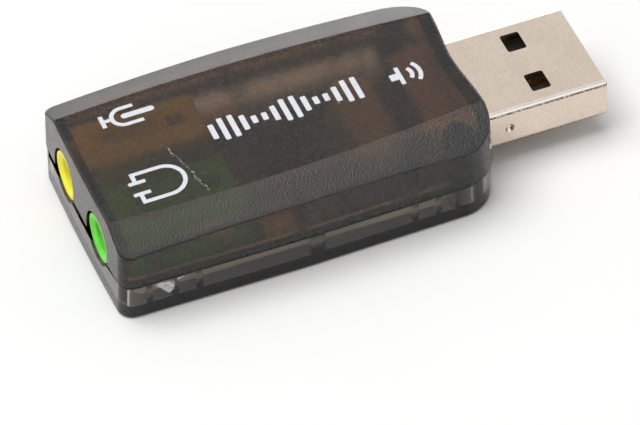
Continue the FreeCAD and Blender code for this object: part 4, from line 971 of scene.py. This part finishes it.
CRUSH_DARK = (0.20, 0.19, 0.19)
CRUSH_LIGHT = (0.92, 0.91, 0.90)
CRUSH_OUTLINES = (
    ((-23.2, 3.75), (-22.67, 3.95), (-21.2, 3.6), (-21.27, 2.69), (-21.83, 2.15), (-22.33, 2.99)),
    ((-21.0, 3.85), (-20.2, 4.0), (-20.3, 3.85), (-20.8, 3.7)),
)
CRUSH_CUTS = 5
CRUSH_PROUD = 0.02
CRUSH_DENT = 0.05
CRUSH_DENT_SCALE = 2.4
CRUSH_GLOSS = 0.5
OUTSIDE_Y = -20.0
PLUG_CORNER_MIDDLE = (9.07, -7.05)
PLUG_CORNER_CLEAR = 8.0
TORN_CORNER_OUTLINES = (
    ((-37, 8.05), (-31, 8.25), (-22, 7.85), (-12, 7.6), (-19, 7.2), (-27, 7.45), (-33, 7.3)),
    ((-43, 7.2), (-35, 7.35), (-28, 6.95), (-12, 7.0), (-17, 6.3), (-23, 5.75), (-28, 6.2), (-38, 6.35)),
)

crushed, tree, shader = plain_finish(
    "Crushed plastic", CRUSH_DARK, CRUSH_LIGHT, patch_scale=1900, grain_scale=9000,
    roughness=(0.15, 0.4), grain_depth=1e-5)
shader.inputs["Coat Weight"].default_value = CRUSH_GLOSS


def torn_patch(name, outlines, half, approach):
    """Crushed plastic laid on a case half; approach gives the ray that meets each point of an outline."""
    skin = cad[half].data
    surface = BVHTree.FromPolygons([vertex.co for vertex in skin.vertices],
                                   [list(face.vertices) for face in skin.polygons])
    patch = bmesh.new()
    for outline in outlines:
        patch.faces.new([patch.verts.new((across, 0, z)) for across, z in outline])
    bmesh.ops.triangulate(patch, faces=patch.faces)
    bmesh.ops.subdivide_edges(patch, edges=patch.edges, cuts=CRUSH_CUTS, use_grid_fill=True)
    bmesh.ops.triangulate(patch, faces=patch.faces)
    aims = {}
    for vertex in patch.verts:
        outside, aim = approach(vertex.co.x, vertex.co.z)
        dent = noise.noise(vertex.co * CRUSH_DENT_SCALE) * CRUSH_DENT
        hit = surface.ray_cast(outside * MM, aim)[0]
        vertex.co = hit / MM - aim * (CRUSH_PROUD - dent)
        aims[vertex] = aim
    for face in patch.faces:
        face.normal_update()
        if face.normal.dot(aims[face.verts[0]]) > 0:
            face.normal_flip()
    piece = piece_from(name, patch, crushed)
    piece.data.shade_flat()
    return fix(piece)


def at_near_wall(x, z):
    """Ray that meets the near wall square on."""
    return Vector((x, OUTSIDE_Y, z)), Vector((0, 1, 0))


def round_plug_corner(angle_deg, z):
    """Ray that meets the rounded near corner at the plug end, aimed at the middle of its round."""
    outward = Vector((math.cos(math.radians(angle_deg)), math.sin(math.radians(angle_deg)), 0))
    return Vector((*PLUG_CORNER_MIDDLE, z)) + outward * PLUG_CORNER_CLEAR, -outward


torn_patch("crushed_joint", CRUSH_OUTLINES, "lower_case", at_near_wall)
torn_patch("torn_corner", TORN_CORNER_OUTLINES, "upper_case", round_plug_corner)


# Studio: a pale floor just under the case, a white room whose zones differ in what shiny faces mirror
# (ceiling, high back wall, backdrop, dim camera side), one wide lamp above to the left, and the camera.
FLOOR_SIZE = 4.0
FLOOR_Z = -0.03
FLOOR_DARK = (0.945, 0.942, 0.938)
FLOOR_LIGHT = (0.955, 0.953, 0.950)
ROOM_SEEN = 1.0
ROOM_DIFFUSE = 0.42
ROOM_ZONES = (
    ((0.24, -0.12, 0.965), (0.86, 0.98), 0.58),
    ((0.24, 0.67, 0.70), (0.86, 0.97), 0.86),
    ((0.24, 0.97, 0.05), (0.80, 0.96), 3.0),
    ((-0.50, -0.62, 0.60), (0.8, 0.95), 0.35),
)
LAMP_PLACE = (-0.28, 0.10, 1.0)
LAMP_SIZE = 0.85
LAMP_POWER = 8.9
CAMERA_PLACE = (-124.699, -341.434, 356.255)
CAMERA_TURN = (45.0714, 1.8033, -21.5738)
CAMERA_LENS = 289.769

floor_mesh = bpy.data.meshes.new("studio_floor")
reach = FLOOR_SIZE / 2
floor_corners = [(x * reach, y * reach, FLOOR_Z * MM) for x, y in ((-1, -1), (1, -1), (1, 1), (-1, 1))]
floor_mesh.from_pydata(floor_corners, [], [(0, 1, 2, 3)])
floor = bpy.data.objects.new("studio_floor", floor_mesh)
bpy.context.scene.collection.objects.link(floor)
floor_paint, tree, shader = plain_finish(
    "Floor paint", FLOOR_DARK, FLOOR_LIGHT, patch_scale=20, grain_scale=3000,
    roughness=(0.8, 0.95), grain_depth=2e-6)
shader.inputs["Specular IOR Level"].default_value = 0.0
floor_mesh.materials.append(floor_paint)

world = bpy.data.worlds.new("Studio room")
bpy.context.scene.world = world
world.use_nodes = True
tree = world.node_tree
direction = put(tree, "ShaderNodeTexCoord", {}, {})


def toward(aim, edge, brightness):
    """Brightness of the room, which changes to another value round an aim."""
    turned = put(tree, "ShaderNodeVectorMath", {"operation": "DOT_PRODUCT"}, {
        0: direction.outputs["Generated"], 1: Vector(aim).normalized()})
    change = put(tree, "ShaderNodeMapRange", {"interpolation_type": "SMOOTHSTEP"}, {
        "Value": turned.outputs["Value"], "From Min": edge[0], "From Max": edge[1],
        "To Min": ROOM_SEEN, "To Max": brightness})
    return change.outputs["Result"]


mirrored = ROOM_SEEN
for zone in ROOM_ZONES:
    mirrored = calculate(tree, "MULTIPLY", mirrored, toward(*zone))
ray = put(tree, "ShaderNodeLightPath", {}, {})
seen_or_through = calculate(tree, "MAXIMUM", ray.outputs["Is Camera Ray"], ray.outputs["Is Transmission Ray"])
plain_level = put(tree, "ShaderNodeMix", {"data_type": "FLOAT"}, {
    0: seen_or_through, 2: ROOM_DIFFUSE, 3: ROOM_SEEN})
room_level = put(tree, "ShaderNodeMix", {"data_type": "FLOAT"}, {
    0: ray.outputs["Is Glossy Ray"], 2: plain_level.outputs[0], 3: mirrored})
tree.links.new(room_level.outputs[0], tree.nodes["Background"].inputs["Strength"])
tree.nodes["Background"].inputs["Color"].default_value = (1, 1, 1, 1)

lamp_data = bpy.data.lights.new("Soft lamp", "AREA")
lamp_data.size = LAMP_SIZE
lamp_data.energy = LAMP_POWER
lamp = bpy.data.objects.new("Soft lamp", lamp_data)
lamp.location = LAMP_PLACE
lamp.rotation_euler = (-Vector(LAMP_PLACE)).to_track_quat("-Z", "Y").to_euler()
bpy.context.scene.collection.objects.link(lamp)

camera_data = bpy.data.cameras.new("Camera")
camera_data.lens = CAMERA_LENS
camera = bpy.data.objects.new("Camera", camera_data)
camera.location = Vector(CAMERA_PLACE) * MM
camera.rotation_euler = Euler([math.radians(angle) for angle in CAMERA_TURN], "XYZ")
bpy.context.scene.collection.objects.link(camera)
bpy.context.scene.camera = camera
bpy.context.scene.view_settings.view_transform = "Standard"
